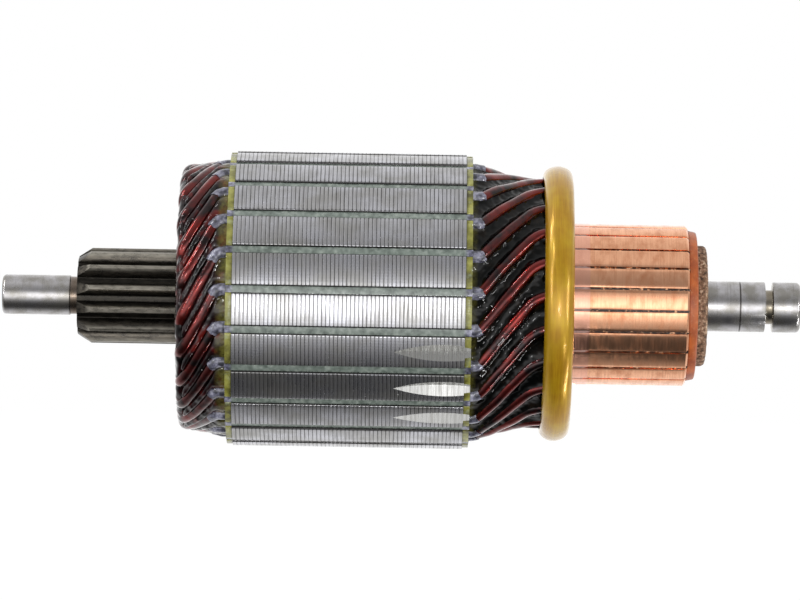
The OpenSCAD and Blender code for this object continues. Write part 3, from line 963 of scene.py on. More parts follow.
@dataclass(frozen=True)
class Shaft(SubAssembly):
    """The shaft with its journals, circlip groove, centre drillings and integral sun gear."""

    sizes: Sizes
    pilot_r: float = 3.95
    pilot_l: float = 15.2
    tip_r: float = 0.7
    relief_l: float = 1.7
    relief_h: float = 0.2
    journal_r: float = 5.0
    journal_l: float = 11.8
    groove_w: float = 1.4
    groove_r: float = 3.4
    groove_lean: float = 0.1
    tail_l: float = 5.5
    tail_r: float = 0.9
    centre_r: float = 1.6
    teeth: int = 13
    gear_r: float = 9.525
    root_r: float = 7.35
    gear_l: float = 21.6
    tip_land: float = 0.8
    pressure: float = 20.0
    lead_l: float = 2.6
    lead_h: float = 1.7
    phase: float = -9.9
    comm_seat_l: float = 31.8
    blank_in: float = 0.5
    blank_under: float = 1.0
    groove_edge: float = 0.08
    groove_foot: float = 0.1

    def centre(self, end: float, way: int) -> list[Point]:
        """Section of a centre drilling, from the axis out to its mouth.

        Args:
            end: Station of the shaft tip.
            way: 1 where the hole goes towards the commutator end, else -1.

        Returns:
            The points, as radius and station.
        """
        # a 60 degree cone down to half the radius, then the pilot hole with its drill point
        r = self.centre_r
        depths = ((0, 2.3), (r / 2, 2), (r / 2, 0.87), (r, 0))
        return [(radius, end + way * deep * r) for radius, deep in depths]

    def blank(self) -> bpy.types.Object:
        """Turns the shaft, from tip to tip."""
        s, sizes = self.pilot_l, self.sizes
        e, f, t = self.groove_edge, self.groove_foot, self.tail_r
        groove = sizes.length - self.tail_l - self.groove_w - 2 * self.groove_lean
        floor = groove + self.groove_lean
        tail = floor + self.groove_w + self.groove_lean
        seat = groove - self.journal_l
        deep, core = self.pilot_r - self.relief_h, self.root_r - self.blank_under
        profile = [
            *self.centre(0, 1),
            *rounded(self.tip_r, (self.pilot_r - self.tip_r, self.tip_r), -90, 0),
            (self.pilot_r, s - self.relief_l),
            *rounded(self.relief_h, (self.pilot_r, s - self.relief_l + self.relief_h), 270, 180, 3),
            # the blank is thinner inside the gear, so that no faces of the two coincide
            (deep, s + self.blank_in), (core, s + self.blank_in),
            (core, s + self.gear_l - self.blank_in),
            (sizes.body_r, s + self.gear_l - self.blank_in),
            (sizes.body_r, seat - self.comm_seat_l), (sizes.seat_r, seat - self.comm_seat_l),
            (sizes.seat_r, seat), (self.journal_r, seat), (self.journal_r, groove - e),
            *rounded(e, (self.journal_r - e, groove - e), 0, 80, 2),
            (self.groove_r + f, floor - 0.02),
            *rounded(f, (self.groove_r + f, floor + f), 260, 180, 2),
            *rounded(f, (self.groove_r + f, floor + self.groove_w - f), 180, 100, 2),
            *rounded(e, (self.journal_r - e, tail + e), -80, 0, 2),
            *rounded(t, (self.journal_r - t, sizes.length - t), 0, 90),
            *reversed(self.centre(sizes.length, -1))]
        return Bench.lathe("shaft_turned", profile, steps=128)

    def flank(self) -> list[Point]:
        """Works out one involute flank.

        Returns:
            Radius and angle in radians from the middle of the tooth, from root to tip.
        """
        pitch_r = (self.gear_r + self.root_r) / 2 - 0.3
        base_r = pitch_r * math.cos(math.radians(self.pressure))

        def roll(r: float) -> float:
            """Angle that the involute has turned at a radius."""
            a = math.acos(min(1.0, base_r / r))
            return math.tan(a) - a

        foot = self.tip_land / 2 / self.gear_r + roll(self.gear_r)
        low = max(base_r, self.root_r + 0.15)
        steps = 7
        radii = [low + (self.gear_r - low) * k / steps for k in range(steps + 1)]
        fillet = [(self.root_r, foot + 0.035), (self.root_r + 0.07, foot + 0.014)]
        return fillet + [(r, foot - roll(r)) for r in radii]

    def gear(self) -> bpy.types.Object:
        """Hobs one tooth, copies it round, and trims the teeth to the turned blank."""
        flank = self.flank()
        half = math.pi / self.teeth
        tip = flank[-1][1]
        outline = ([(self.root_r, -half)] + [(r, -a) for r, a in flank]
                   + [(self.gear_r, tip * k / 2) for k in (-1, 0, 1)]
                   + [(r, a) for r, a in reversed(flank)] + [(self.root_r, half)])
        points = [(r * math.cos(a), r * math.sin(a), self.pilot_l) for r, a in outline]
        obj = Bench.outline("sun_gear", points, closed=False)
        Bench.repeat(self.teeth, weld=0.005)
        bpy.ops.mesh.select_all(action="SELECT")
        bpy.ops.mesh.edge_face_add()
        Bench.raise_by(self.gear_l)
        Bench.done(obj)
        s, far = self.pilot_l, self.pilot_l + self.gear_l
        trim = Bench.lathe("gear_trim", [
            (0, s), (self.gear_r - self.lead_h, s), (self.gear_r, s + self.lead_l),
            (self.gear_r + 0.001, far - 0.5), (self.gear_r - 0.5, far), (0, far)], steps=260)
        Bench.combine(obj, trim, "INTERSECT")
        return Bench.clean(obj, 0.004)

    def build(self) -> list[bpy.types.Object]:
        """Models the shaft as one piece of steel."""
        shaft, gear = self.blank(), self.gear()
        self.dress(shaft, GroundSteel(relief=(self.pilot_l - self.relief_l, self.pilot_l),
                                      origin=self.sizes.origin), GearSteel())
        self.dress(gear, GearSteel())
        Bench.combine(shaft, gear, "UNION")
        Bench.clean(shaft)
        shaft.name = shaft.data.name = "shaft_with_sun_gear"
        return [self.fit(shaft, "ground_steel", "shaft", smooth=30, angle=self.phase)]


@dataclass(frozen=True)
class Stamping:
    """Outline of one core plate, which the insulating discs follow too."""

    sizes: Sizes
    radius: float
    mouth_w: float = 1.4
    corner: float = 0.35
    arc_steps: int = 5

    def pitch(self) -> list[Point]:
        """Draws one slot with half a tooth on each side.

        Returns:
            The points, as x and y, with the slot pointing along x.
        """
        sizes, c, m = self.sizes, self.corner, self.mouth_w / 2
        half = math.pi / sizes.slots
        start = math.asin((m + c) / self.radius)
        arc = [half + (start - half) * k / self.arc_steps for k in range(self.arc_steps + 1)]
        side = [(self.radius * math.cos(a), self.radius * math.sin(a)) for a in arc]
        middle = self.radius * math.cos(start) - c
        side += [(middle + c * math.cos(a), m + c - c * math.sin(a)) for a in (0.5, 1.05, 1.57)]
        r = sizes.slot_r
        mouth = math.degrees(math.asin(m / r))
        side += [(sizes.r_outer + r * math.cos(a), r * math.sin(a))
                 for a in map(math.radians, (mouth, (mouth + 90) / 2, 90))]
        side += [(sizes.r_inner + r * math.cos(a), r * math.sin(a))
                 for a in map(math.radians, (90, 120, 150, 180))]
        return [(x, -y) for x, y in side[:-1]] + list(reversed(side))

    def plate(self, name: str, thickness: float, edge: float) -> bpy.types.Object:
        """Cuts a plate from sheet, from station 0 up.

        Args:
            name: Name of the object.
            thickness: Thickness of the sheet.
            edge: Radius of its outer edges.

        Returns:
            The plate.
        """
        obj = Bench.outline(name, [(x, y, 0) for x, y in self.pitch()], closed=False)
        Bench.repeat(self.sizes.slots, weld=0.003)
        bpy.ops.mesh.primitive_circle_add(vertices=64, radius=self.sizes.body_r + 0.02)
        bpy.ops.mesh.select_all(action="SELECT")
        bpy.ops.mesh.fill(use_beauty=False)
        Bench.raise_by(thickness)
        Bench.done(obj)
        Bench.edit(obj, "DESELECT")
        rim = self.radius - self.corner - 0.4

        def is_outer(e: bmesh.types.BMEdge) -> bool:
            """Whether an edge runs round a face of the plate, outside its slots."""
            return (len(e.link_faces) == 2 and e.calc_face_angle(0) > 1
                    and abs(e.verts[0].co.z - e.verts[1].co.z) < 1e-5
                    and all(v.co.xy.length > rim for v in e.verts))

        Bench.pick(obj, "edges", is_outer)
        bpy.ops.mesh.bevel(offset=edge, segments=2, affect="EDGES", profile=0.5, clamp_overlap=True)
        return Bench.done(obj, weld=0.0005)


@dataclass(frozen=True)
class BalanceCuts:
    """Grooves that a vee-edged cutter has milled over three teeth, to balance the rotor."""

    sizes: Sizes
    cutter_r: float = 33.0
    depth: float = 1.5
    half_angle: float = 50.0
    back: float = 5.2
    slots: tuple[float, ...] = (1.5, 2.5, 3.5)

    @property
    def middle(self) -> float:
        """Station of the cutter's middle."""
        return self.sizes.core[1] + self.sizes.disc_t - self.back

    @property
    def start(self) -> float:
        """Station where the cuts begin."""
        reach = math.sqrt(self.cutter_r ** 2 - (self.cutter_r - self.depth) ** 2)
        return self.middle - reach

    def cutter(self) -> bpy.types.Object:
        """Sets up the cutter over each of its teeth.

        Returns:
            The cutters as one object.
        """
        sizes, deep = self.sizes, 2 * self.depth
        spread = deep * math.tan(math.radians(self.half_angle))
        inner = self.cutter_r - deep
        axle = (sizes.core_r - self.depth + self.cutter_r, 0, self.middle)
        made = []
        for slot in self.slots:
            vee = [(inner, -spread), (self.cutter_r, 0), (inner, spread)]
            wheel = Bench.lathe("cutter", vee, steps=240)
            wheel.data.materials.append(MilledSteel().material())
            Bench.move(wheel, Matrix.Rotation(math.radians(slot * sizes.slot_step), 4, "Z")
                       @ Matrix.Translation(axle) @ Matrix.Rotation(math.pi / 2, 4, "X"))
            made.append(wheel)
        return Bench.join("balance_cutters", made)


@dataclass(frozen=True)
class Core(SubAssembly):
    """The stamped plates, pressed on the shaft side by side, with their balance cuts."""

    sizes: Sizes
    plates: int = 57
    seam: float = 0.02
    edge: float = 0.13

    def build(self) -> list[bpy.types.Object]:
        """Stamps one plate, copies it along the shaft and mills the cuts."""
        start, stop = self.sizes.core
        pitch = (stop - start) / self.plates
        first = Stamping(self.sizes, self.sizes.core_r).plate("plate", pitch - self.seam, self.edge)
        steel = CoreSteel(pitch=pitch, start=start + self.sizes.origin)
        self.dress(first, steel, MilledSteel())
        cuts = BalanceCuts(self.sizes)
        cutter = cuts.cutter()
        made = []
        for k in range(self.plates):
            plate = Bench.twin(first, f"lamination_{k + 1:02d}")
            at = start + k * pitch + self.seam / 2
            Bench.shift(plate, at)
            if at + pitch > cuts.start:
                Bench.combine(plate, cutter, "DIFFERENCE", keep=True)
            made.append(self.fit(plate, "core_steel", "laminations", smooth=32))
        bpy.data.objects.remove(first)
        bpy.data.objects.remove(cutter)
        return made


@dataclass(frozen=True)
class Insulators(SubAssembly):
    """The insulating disc and shaft collar at each end of the core."""

    sizes: Sizes
    inset: float = 0.3
    edge: float = 0.22
    collar_t: float = 1.2
    collar_play: float = 0.07
    chamfer: float = 0.2
    overlap: float = 0.1

    def build(self) -> list[bpy.types.Object]:
        """Cuts each disc, joins its collar to it, and mills the far one with the core."""
        sizes, c = self.sizes, self.chamfer
        stamp = Stamping(sizes, sizes.core_r - self.inset)
        inner = sizes.body_r + self.collar_play
        outer = inner + self.collar_t
        made = []
        for end in End:
            node = f"end_insulator_{end.name.lower()}"
            low, high = stations(node, sizes.origin)
            at = sizes.core[0] - sizes.disc_t if end is End.DRIVE else sizes.core[1]
            disc = stamp.plate(node + "_disc", sizes.disc_t, self.edge)
            Bench.shift(disc, at)
            self.dress(disc, InsulatingBoard())
            if end is End.COMMUTATOR:
                Bench.combine(disc, BalanceCuts(sizes).cutter(), "DIFFERENCE")
                low = at + sizes.disc_t - self.overlap
            else:
                high = at + self.overlap
            collar = Bench.lathe("collar", [(inner, low), (outer - c, low), (outer, low + c),
                                            (outer, high), (inner, high)], steps=96)
            self.dress(collar, InsulatingBoard())
            Bench.combine(disc, collar, "UNION")
            Bench.clean(disc)
            made.append(self.fit(disc, "insulating_board", node, smooth=35))
        return made


@dataclass(frozen=True)
class Hairpin:
    """The way that one coil runs: riser, outer slot, drive-end turn, inner slot, riser."""

    sizes: Sizes
    exit_r: float = 2.2
    nose_r: float = 4.0
    lead_r: float = 7.0
    nose_drop: float = 1.1
    clear: float = 0.6
    nose_a: float = 8.2
    lead_a: float = 15.5
    turn_steps: float = 2.0
    crown: float = 2.6
    lead_end: float = 19.8

    @property
    def lean(self) -> float:
        """Angle that a leg turns through, in degrees."""
        return self.turn_steps * self.sizes.slot_step

    @staticmethod
    def ease(x: float) -> float:
        """Blends from 0 to 1, quickly at first."""
        return math.sin(math.pi / 2 * min(1.0, max(0.0, x))) ** 1.25

    def lead_radius(self, layer: Layer, a: float) -> float:
        """Radius of a leg at a distance past its slot, at the commutator end."""
        drop = self.sizes.lead_drop * self.ease(a / (0.77 * self.lead_a))
        return self.sizes.layer_r(layer) - drop

    def nose_radius(self, u: float, a: float) -> float:
        """Radius along the drive-end turn, where u is the way round from its crown."""
        sizes = self.sizes
        swing = math.sin(math.pi / 2 * max(-1.0, min(1.0, u / self.crown)))
        middle = (sizes.r_outer + sizes.r_inner) / 2
        return (middle - self.nose_drop * self.ease(a / self.nose_a)
                - (sizes.r_outer - sizes.r_inner) / 2 * swing)

    def width(self, drop: float) -> float:
        """Way round from a slot to the end of its leg, at a drop in radius."""
        mean = (self.sizes.r_outer + self.sizes.r_inner - drop) / 2
        return math.radians(self.lean) * mean

    def leg(self, end: End, fine: int = 1) -> list[Point]:
        """Plan of a leg, from the core outwards.

        Args:
            end: End of the core.
            fine: How many times finer than the plainest smooth leg.

        Returns:
            The points, as the length past the slot and the way round.
        """
        r1 = self.exit_r
        if end is End.COMMUTATOR:
            a, w, r2 = self.lead_a, self.width(self.sizes.lead_drop), self.lead_r
            lean = math.asin((r1 + r2) / math.hypot(a, w - r1 - r2)) + math.atan2(w - r1 - r2, a)
            bends = [lean * (1 - k / (6 * fine)) for k in range(6 * fine + 1)]
            last = [(a - r2 * math.sin(b), w - r2 * (1 - math.cos(b))) for b in bends]
        else:
            a, w, r2 = self.nose_a, self.width(self.nose_drop), self.nose_r
            lean = (math.asin((r1 - r2) / math.hypot(a - r2, w - r1)) + math.atan2(w - r1, a - r2))
            bends = [lean + (math.pi / 2 - lean) * k / (4 * fine) for k in range(4 * fine + 1)]
            last = [(a - r2 * (1 - math.sin(b)), w - r2 * math.cos(b)) for b in bends]
        turns = [lean * k / (5 * fine) for k in range(5 * fine + 1)]
        first = [(r1 * math.sin(b), r1 * (1 - math.cos(b))) for b in turns]
        steps = 10 * fine
        (x0, y0), (x1, y1) = first[-1], last[0]
        straight = [(x0 + (x1 - x0) * k / steps, y0 + (y1 - y0) * k / steps)
                    for k in range(1, steps)]
        return first + straight + last

    def place(self, end: End, layer: Layer, point: Point, turn: float = 0.0) -> Spot:
        """Puts a point of a leg on the winding.

        Args:
            end: End of the core.
            layer: Layer of the leg in its slot.
            point: Length past the slot and way round.
            turn: Angle of the leg's slot, in degrees.

        Returns:
            The radius, the angle in degrees and the station.
        """
        along, aside = point
        sizes = self.sizes
        if end is End.COMMUTATOR:
            way = -1 if layer is Layer.OUTER else 1
            angle = turn + way * aside / self.width(sizes.lead_drop) * self.lean
            return (self.lead_radius(layer, along), angle,
                    sizes.core[1] + sizes.disc_t + self.clear + along)
        span = self.width(self.nose_drop)
        way = 1 if layer is Layer.OUTER else -1
        angle = turn + way * aside / span * self.lean
        return (self.nose_radius((aside - span) * way, along), angle,
                sizes.core[0] - sizes.disc_t - self.clear - along)

    def run(self) -> list[Spot]:
        """Follows the whole coil whose outer leg lies in the slot at angle 0.

        Returns:
            The points, as radius, angle in degrees and station.
        """
        sizes = self.sizes
        finish = 2 * self.lean
        tip = sizes.core[1] + sizes.disc_t + self.lead_end
        lead, nose = self.leg(End.COMMUTATOR), self.leg(End.DRIVE)
        out = [(sizes.r_outer - sizes.lead_drop, -self.lean, tip)]
        out += [self.place(End.COMMUTATOR, Layer.OUTER, p) for p in reversed(lead)]
        out += [self.place(End.DRIVE, Layer.OUTER, p) for p in nose]
        out += [self.place(End.DRIVE, Layer.INNER, p, finish) for p in reversed(nose[:-1])]
        out += [self.place(End.COMMUTATOR, Layer.INNER, p, finish) for p in lead]
        return out + [(sizes.r_inner - sizes.lead_drop, finish + self.lean, tip)]


def upright(r: float, angle: float, s: float) -> Vector:
    """Turns a radius, an angle in degrees and a station into a point on the bench."""
    a = math.radians(angle)
    return Vector((r * math.cos(a), r * math.sin(a), s))


@dataclass(frozen=True)
class Winding(SubAssembly):
    """The hairpin coils, the paper sleeves at their bends, and the resin between their legs."""

    sizes: Sizes
    sides: int = 6
    wander: float = 0.13
    calm_at: float = 108.0
    calm_l: float = 2.0
    sleeve_t: float = 0.14
    sleeve_l: float = 2.8
    rim_fill: float = 0.84
    web_steps: int = 8
    web_end: float = 16.4

    @staticmethod
    def tube(name: str, path: Sequence[Vector], radius: float, resolution: int) -> bpy.types.Object:
        """Sweeps a round section along a path and closes its ends.

        Args:
            name: Name of the object.
            path: Middle of the tube, from end to end.
            radius: Radius of the tube.
            resolution: Fineness of the section.

        Returns:
            The tube as a mesh.
        """
        curve = bpy.data.curves.new(name, "CURVE")
        curve.dimensions = "3D"
        curve.bevel_depth = radius
        curve.bevel_resolution = resolution
        curve.use_fill_caps = True
        line = curve.splines.new("POLY")
        line.points.add(len(path) - 1)
        for point, here in zip(line.points, path):
            point.co = (*here, 1.0)
        obj = bpy.data.objects.new(name, curve)
        bpy.context.scene.collection.objects.link(obj)
        Bench.take(obj)
        bpy.ops.object.convert(target="MESH")
        obj = bpy.context.object
        obj.name = obj.data.name = name
        Bench.edit(obj)
        return Bench.done(obj)

    def wobble(self, obj: bpy.types.Object) -> None:
        """Moves a coil's points a little outside the core, so that no two legs lie quite alike."""
        low, high = self.sizes.core
        for vertex in obj.data.vertices:
            at = vertex.co
            out = max(low - 2 - at.z, at.z - high - 2, 0.0)
            size = self.wander * min(1.0, out / 2.5)
            if at.z > self.calm_at:
                # the risers hold the ends still
                size *= max(0.0, 1 - (at.z - self.calm_at) / self.calm_l)
            if size > 0:
                vertex.co += drift(at / 4.2) * size

    def coils(self) -> list[bpy.types.Object]:
        """Bends one coil, then copies it from slot to slot."""
        path = [upright(*p) for p in Hairpin(self.sizes).run()]
        first = self.tube("coil", path, self.sizes.wire_d / 2, self.sides)
        self.dress(first, EnamelledWire())
        made = []
        for number, coil in self.copies(first, "hairpin_coil"):
            self.wobble(coil)
            made.append(self.fit(coil, "enamelled_wire", f"coil_{number}", smooth=60))
        return made

    def sleeves(self, end: End, layer: Layer) -> bpy.types.Object:
        """Slips a paper sleeve with a ragged rim over each wire where it leaves its slot.

        Args:
            end: End of the core.
            layer: Layer of the wires.

        Returns:
            The sleeves of one layer at one end.
        """
        pin, sizes, way = Hairpin(self.sizes), self.sizes, end.value
        length = self.sleeve_l * (1.0 if end is End.DRIVE else 0.68)
        made = []
        for k in range(sizes.slots):
            turn = k * sizes.slot_step
            uneven = noise.noise(Vector((k * 3.7, way * 5.1, layer.value * 9.3)))
            reach = length * (1 + 0.22 * uneven)
            path = [upright(sizes.layer_r(layer), turn, sizes.sleeve_face(end) - way * 0.3)]
            for point in pin.leg(end, fine=2):
                if point[0] + pin.clear < reach:
                    path.append(upright(*pin.place(end, layer, point, turn)))
            tube = self.tube("sleeve", path, sizes.wire_d / 2 + self.sleeve_t, 8)
            last = path[-1]
            for vertex in tube.data.vertices:
                near = max(0.0, 1 - (vertex.co - last).length / 2.2)
                ragged = noise.noise(vertex.co * 1.3 + Vector((0, 0, 7.0 * k)))
                vertex.co += (last - path[-2]).normalized() * (ragged * 0.9 * near)
                vertex.co += drift(vertex.co * 1.1) * 0.07
            made.append(tube)
        obj = Bench.join(f"wire_sleeves_{end.name.lower()}_{layer.name.lower()}", made)
        self.dress(obj, LinerPaper(core=sizes.core_span))
        return self.fit(obj, "liner_paper", smooth=60)

    def flood(self, end: End) -> WindingResin:
        """Picks the resin of one end: over the drive-end turns it lies thinner and glows red."""
        discs = self.sizes.core_span
        if end is End.DRIVE:
            return WindingResin(name="winding_resin_thin", discs=discs, wine=0.8, ior=1.45)
        return WindingResin(discs=discs)

    def lift(self, end: End, across: float, far: float, mark: Vector) -> float:
        """Height of the resin's surface over the middles of the wires.

        Args:
            end: End of the core.
            across: Place from one wire, -1, to the next, 1.
            far: Place from the slot, 0, to the end of the leg, 1.
            mark: Point that the surface's unevenness is read at.

        Returns:
            The height, in millimetres.
        """
        wire_r, bow = self.sizes.wire_d / 2, across ** 2
        fill, fade = 0.0, 1.0
        if end is End.DRIVE:
            fill, fade = 0.95, 1 - 0.3 * max(0.0, (far - 0.8) / 0.2)
        height = wire_r * ((0.62 - fill) * bow ** 1.3 - 0.12 + fill) * fade
        swell = (0.10 + 0.16 * far) * (1 - bow) * (0.6 + noise.noise(mark / 2.6))
        return height + (swell + 0.03 * noise.noise(mark / 1.2))

    def web(self, end: End, rows: Sequence[Spot], bay: int) -> bpy.types.Object:
        """Fills one bay between two outer legs with a closed web of resin.

        Args:
            end: End of the core.
            rows: Points of the first leg, as radius, angle and station.
            bay: Number of the bay, counted from the first slot.

        Returns:
            The web, on the bench.
        """
        sizes, steps = self.sizes, self.web_steps
        step = sizes.slot_step
        mesh = bmesh.new()
        top, low = [], []
        for j, (r, angle, s) in enumerate(rows):
            here, there = upright(r, angle, s), upright(r, angle + step, s)
            before = upright(*rows[max(0, j - 1)])
            after = upright(*rows[min(len(rows) - 1, j + 1)])
            out = Vector((here.x, here.y, 0)).normalized()
            side = (after - before).normalized().cross(out).normalized()
            square = abs((there - here).dot(side))
            # the web starts inside the wire, as far round as the leg's slant asks for
            reach = sizes.wire_d / 2 * 0.82 / max(square, 0.1)
            far = j / (len(rows) - 1)
            line, floor = [], []
            for i in range(steps + 1):
                t = reach + (1 - 2 * reach) * i / steps
                mark = upright(r, angle + step * (bay + t), s)
                lift = self.lift(end, 2 * i / steps - 1, far, mark)
                spot = upright(r, angle + step * t, s)
                radial = Vector((spot.x, spot.y, 0)).normalized()
                line.append(mesh.verts.new(spot + radial * lift))
                floor.append(mesh.verts.new(spot + radial * min(lift - 0.1, -1.15)))
            top.append(line)
            low.append(floor)
        for sheet, flip in ((top, False), (low, True)):
            for a, b in zip(sheet, sheet[1:]):
                for i in range(steps):
                    corners = [a[i], a[i + 1], b[i + 1], b[i]]
                    mesh.faces.new(reversed(corners) if flip else corners)
        for i in range(steps):
            mesh.faces.new([top[0][i + 1], top[0][i], low[0][i], low[0][i + 1]])
            mesh.faces.new([top[-1][i], top[-1][i + 1], low[-1][i + 1], low[-1][i]])
        for j in range(len(rows) - 1):
            mesh.faces.new([top[j][0], top[j + 1][0], low[j + 1][0], low[j][0]])
            mesh.faces.new([top[j + 1][-1], top[j][-1], low[j][-1], low[j + 1][-1]])
        data = bpy.data.meshes.new("web")
        mesh.to_mesh(data)
        mesh.free()
        obj = bpy.data.objects.new("web", data)
        bpy.context.scene.collection.objects.link(obj)
        Bench.turn(obj, bay * step)
        return obj

    def resin(self, end: End) -> bpy.types.Object:
        """Fills the bays between the outer legs with resin that climbs up each wire.

        Args:
            end: End of the core.

        Returns:
            The resin of one end, as closed webs.
        """
        pin, sizes = Hairpin(self.sizes), self.sizes
        rows = [(sizes.r_outer, 0.0, sizes.sleeve_face(end))]
        rows += [pin.place(end, Layer.OUTER, p) for p in pin.leg(end)]
        if end is End.COMMUTATOR:
            rows.append((rows[-1][0], rows[-1][1], sizes.core[1] + sizes.disc_t + self.web_end))
        webs = [self.web(end, rows, bay) for bay in range(sizes.slots)]
        obj = Bench.join(f"winding_resin_{end.name.lower()}", webs)
        self.dress(obj, self.flood(end))
        Bench.edit(obj)
        Bench.done(obj, weld=0.0001)
        return self.fit(obj, "enamelled_wire", smooth=70)

    def rim(self) -> bpy.types.Object:
        """Floods the crowns of the drive-end turns with a lumpy ring of resin."""
        pin, sizes = Hairpin(self.sizes), self.sizes
        r, _, s = pin.place(End.DRIVE, Layer.OUTER, pin.leg(End.DRIVE)[-1])
        thick = sizes.wire_d / 2 * self.rim_fill
        oval = [(r + 1.5 * thick * math.cos(a), s + thick * math.sin(a))
                for a in (TURN * k / 20 for k in range(20))]
        ring = Bench.lathe("winding_resin_rim", oval, steps=276)
        for vertex in ring.data.vertices:
            way = Vector((vertex.co.x, vertex.co.y, 0)).normalized()
            out = (vertex.co - way * r - Vector((0, 0, s))).normalized()
            lumps = noise.noise(vertex.co / 2.4) * 0.34 + noise.noise(vertex.co / 0.9) * 0.06
            vertex.co += out * lumps
        self.dress(ring, self.flood(End.DRIVE))
        return self.fit(ring, "enamelled_wire", smooth=70)

    def build(self) -> list[bpy.types.Object]:
        """Winds the coils, sleeves them and floods them with resin."""
        made = [*self.coils(), self.rim()]
        made += [self.sleeves(end, layer) for end in End for layer in Layer]
        return made + [self.resin(end) for end in End]


@dataclass(frozen=True)
class SlotLiners(SubAssembly):
    """The paper channels that line the slots, their mouths filled level with resin."""

    sizes: Sizes
    mouth_w: float = 1.36
    mouth_r: float = 28.98
    past: float = 1.27

    def ring(self, r: float, low: float, gate: bool) -> list[Spot]:
        """Draws an outline round both wires.

        Args:
            r: Radius of the outline round each wire.
            low: Station that it lies at.
            gate: Whether it opens into the slot's mouth.

        Returns:
            The corners of the outline.
        """
        sizes, m, top = self.sizes, self.mouth_w / 2, self.mouth_r
        start = math.degrees(math.asin(m / r)) if gate else 0
        side = [(sizes.r_outer + r * math.cos(a), r * math.sin(a), low)
                for a in map(math.radians, np.linspace(start, 90, 6))]
        side += [(sizes.r_inner + r * math.cos(a), r * math.sin(a), low)
                 for a in map(math.radians, np.linspace(90, 180, 7))]
        if gate:
            side = [(top, 0.0, low), (top, m * 0.5, low), (top - 0.03, m, low)] + side
        return side + [(x, -y, z) for x, y, z in reversed(side[1:-1])]

    def build(self) -> list[bpy.types.Object]:
        """Folds one liner and copies it from slot to slot."""
        sizes = self.sizes
        low, high = sizes.core[0] - self.past, sizes.core[1] + self.past
        first = Bench.outline("liner", self.ring(sizes.liner_r, low, True))
        bpy.ops.object.mode_set(mode="OBJECT")
        hole = Bench.outline("hole", self.ring(sizes.bore_r, low, False))
        first = Bench.join("liner", [first, hole])
        Bench.edit(first)
        bpy.ops.mesh.fill(use_beauty=False)
        Bench.raise_by(high - low)
        Bench.done(first)
        self.dress(first, LinerPaper(core=sizes.core_span))
        return [self.fit(liner, "liner_paper", "slot_liners", smooth=40)
                for _, liner in self.copies(first, "slot_liner")]


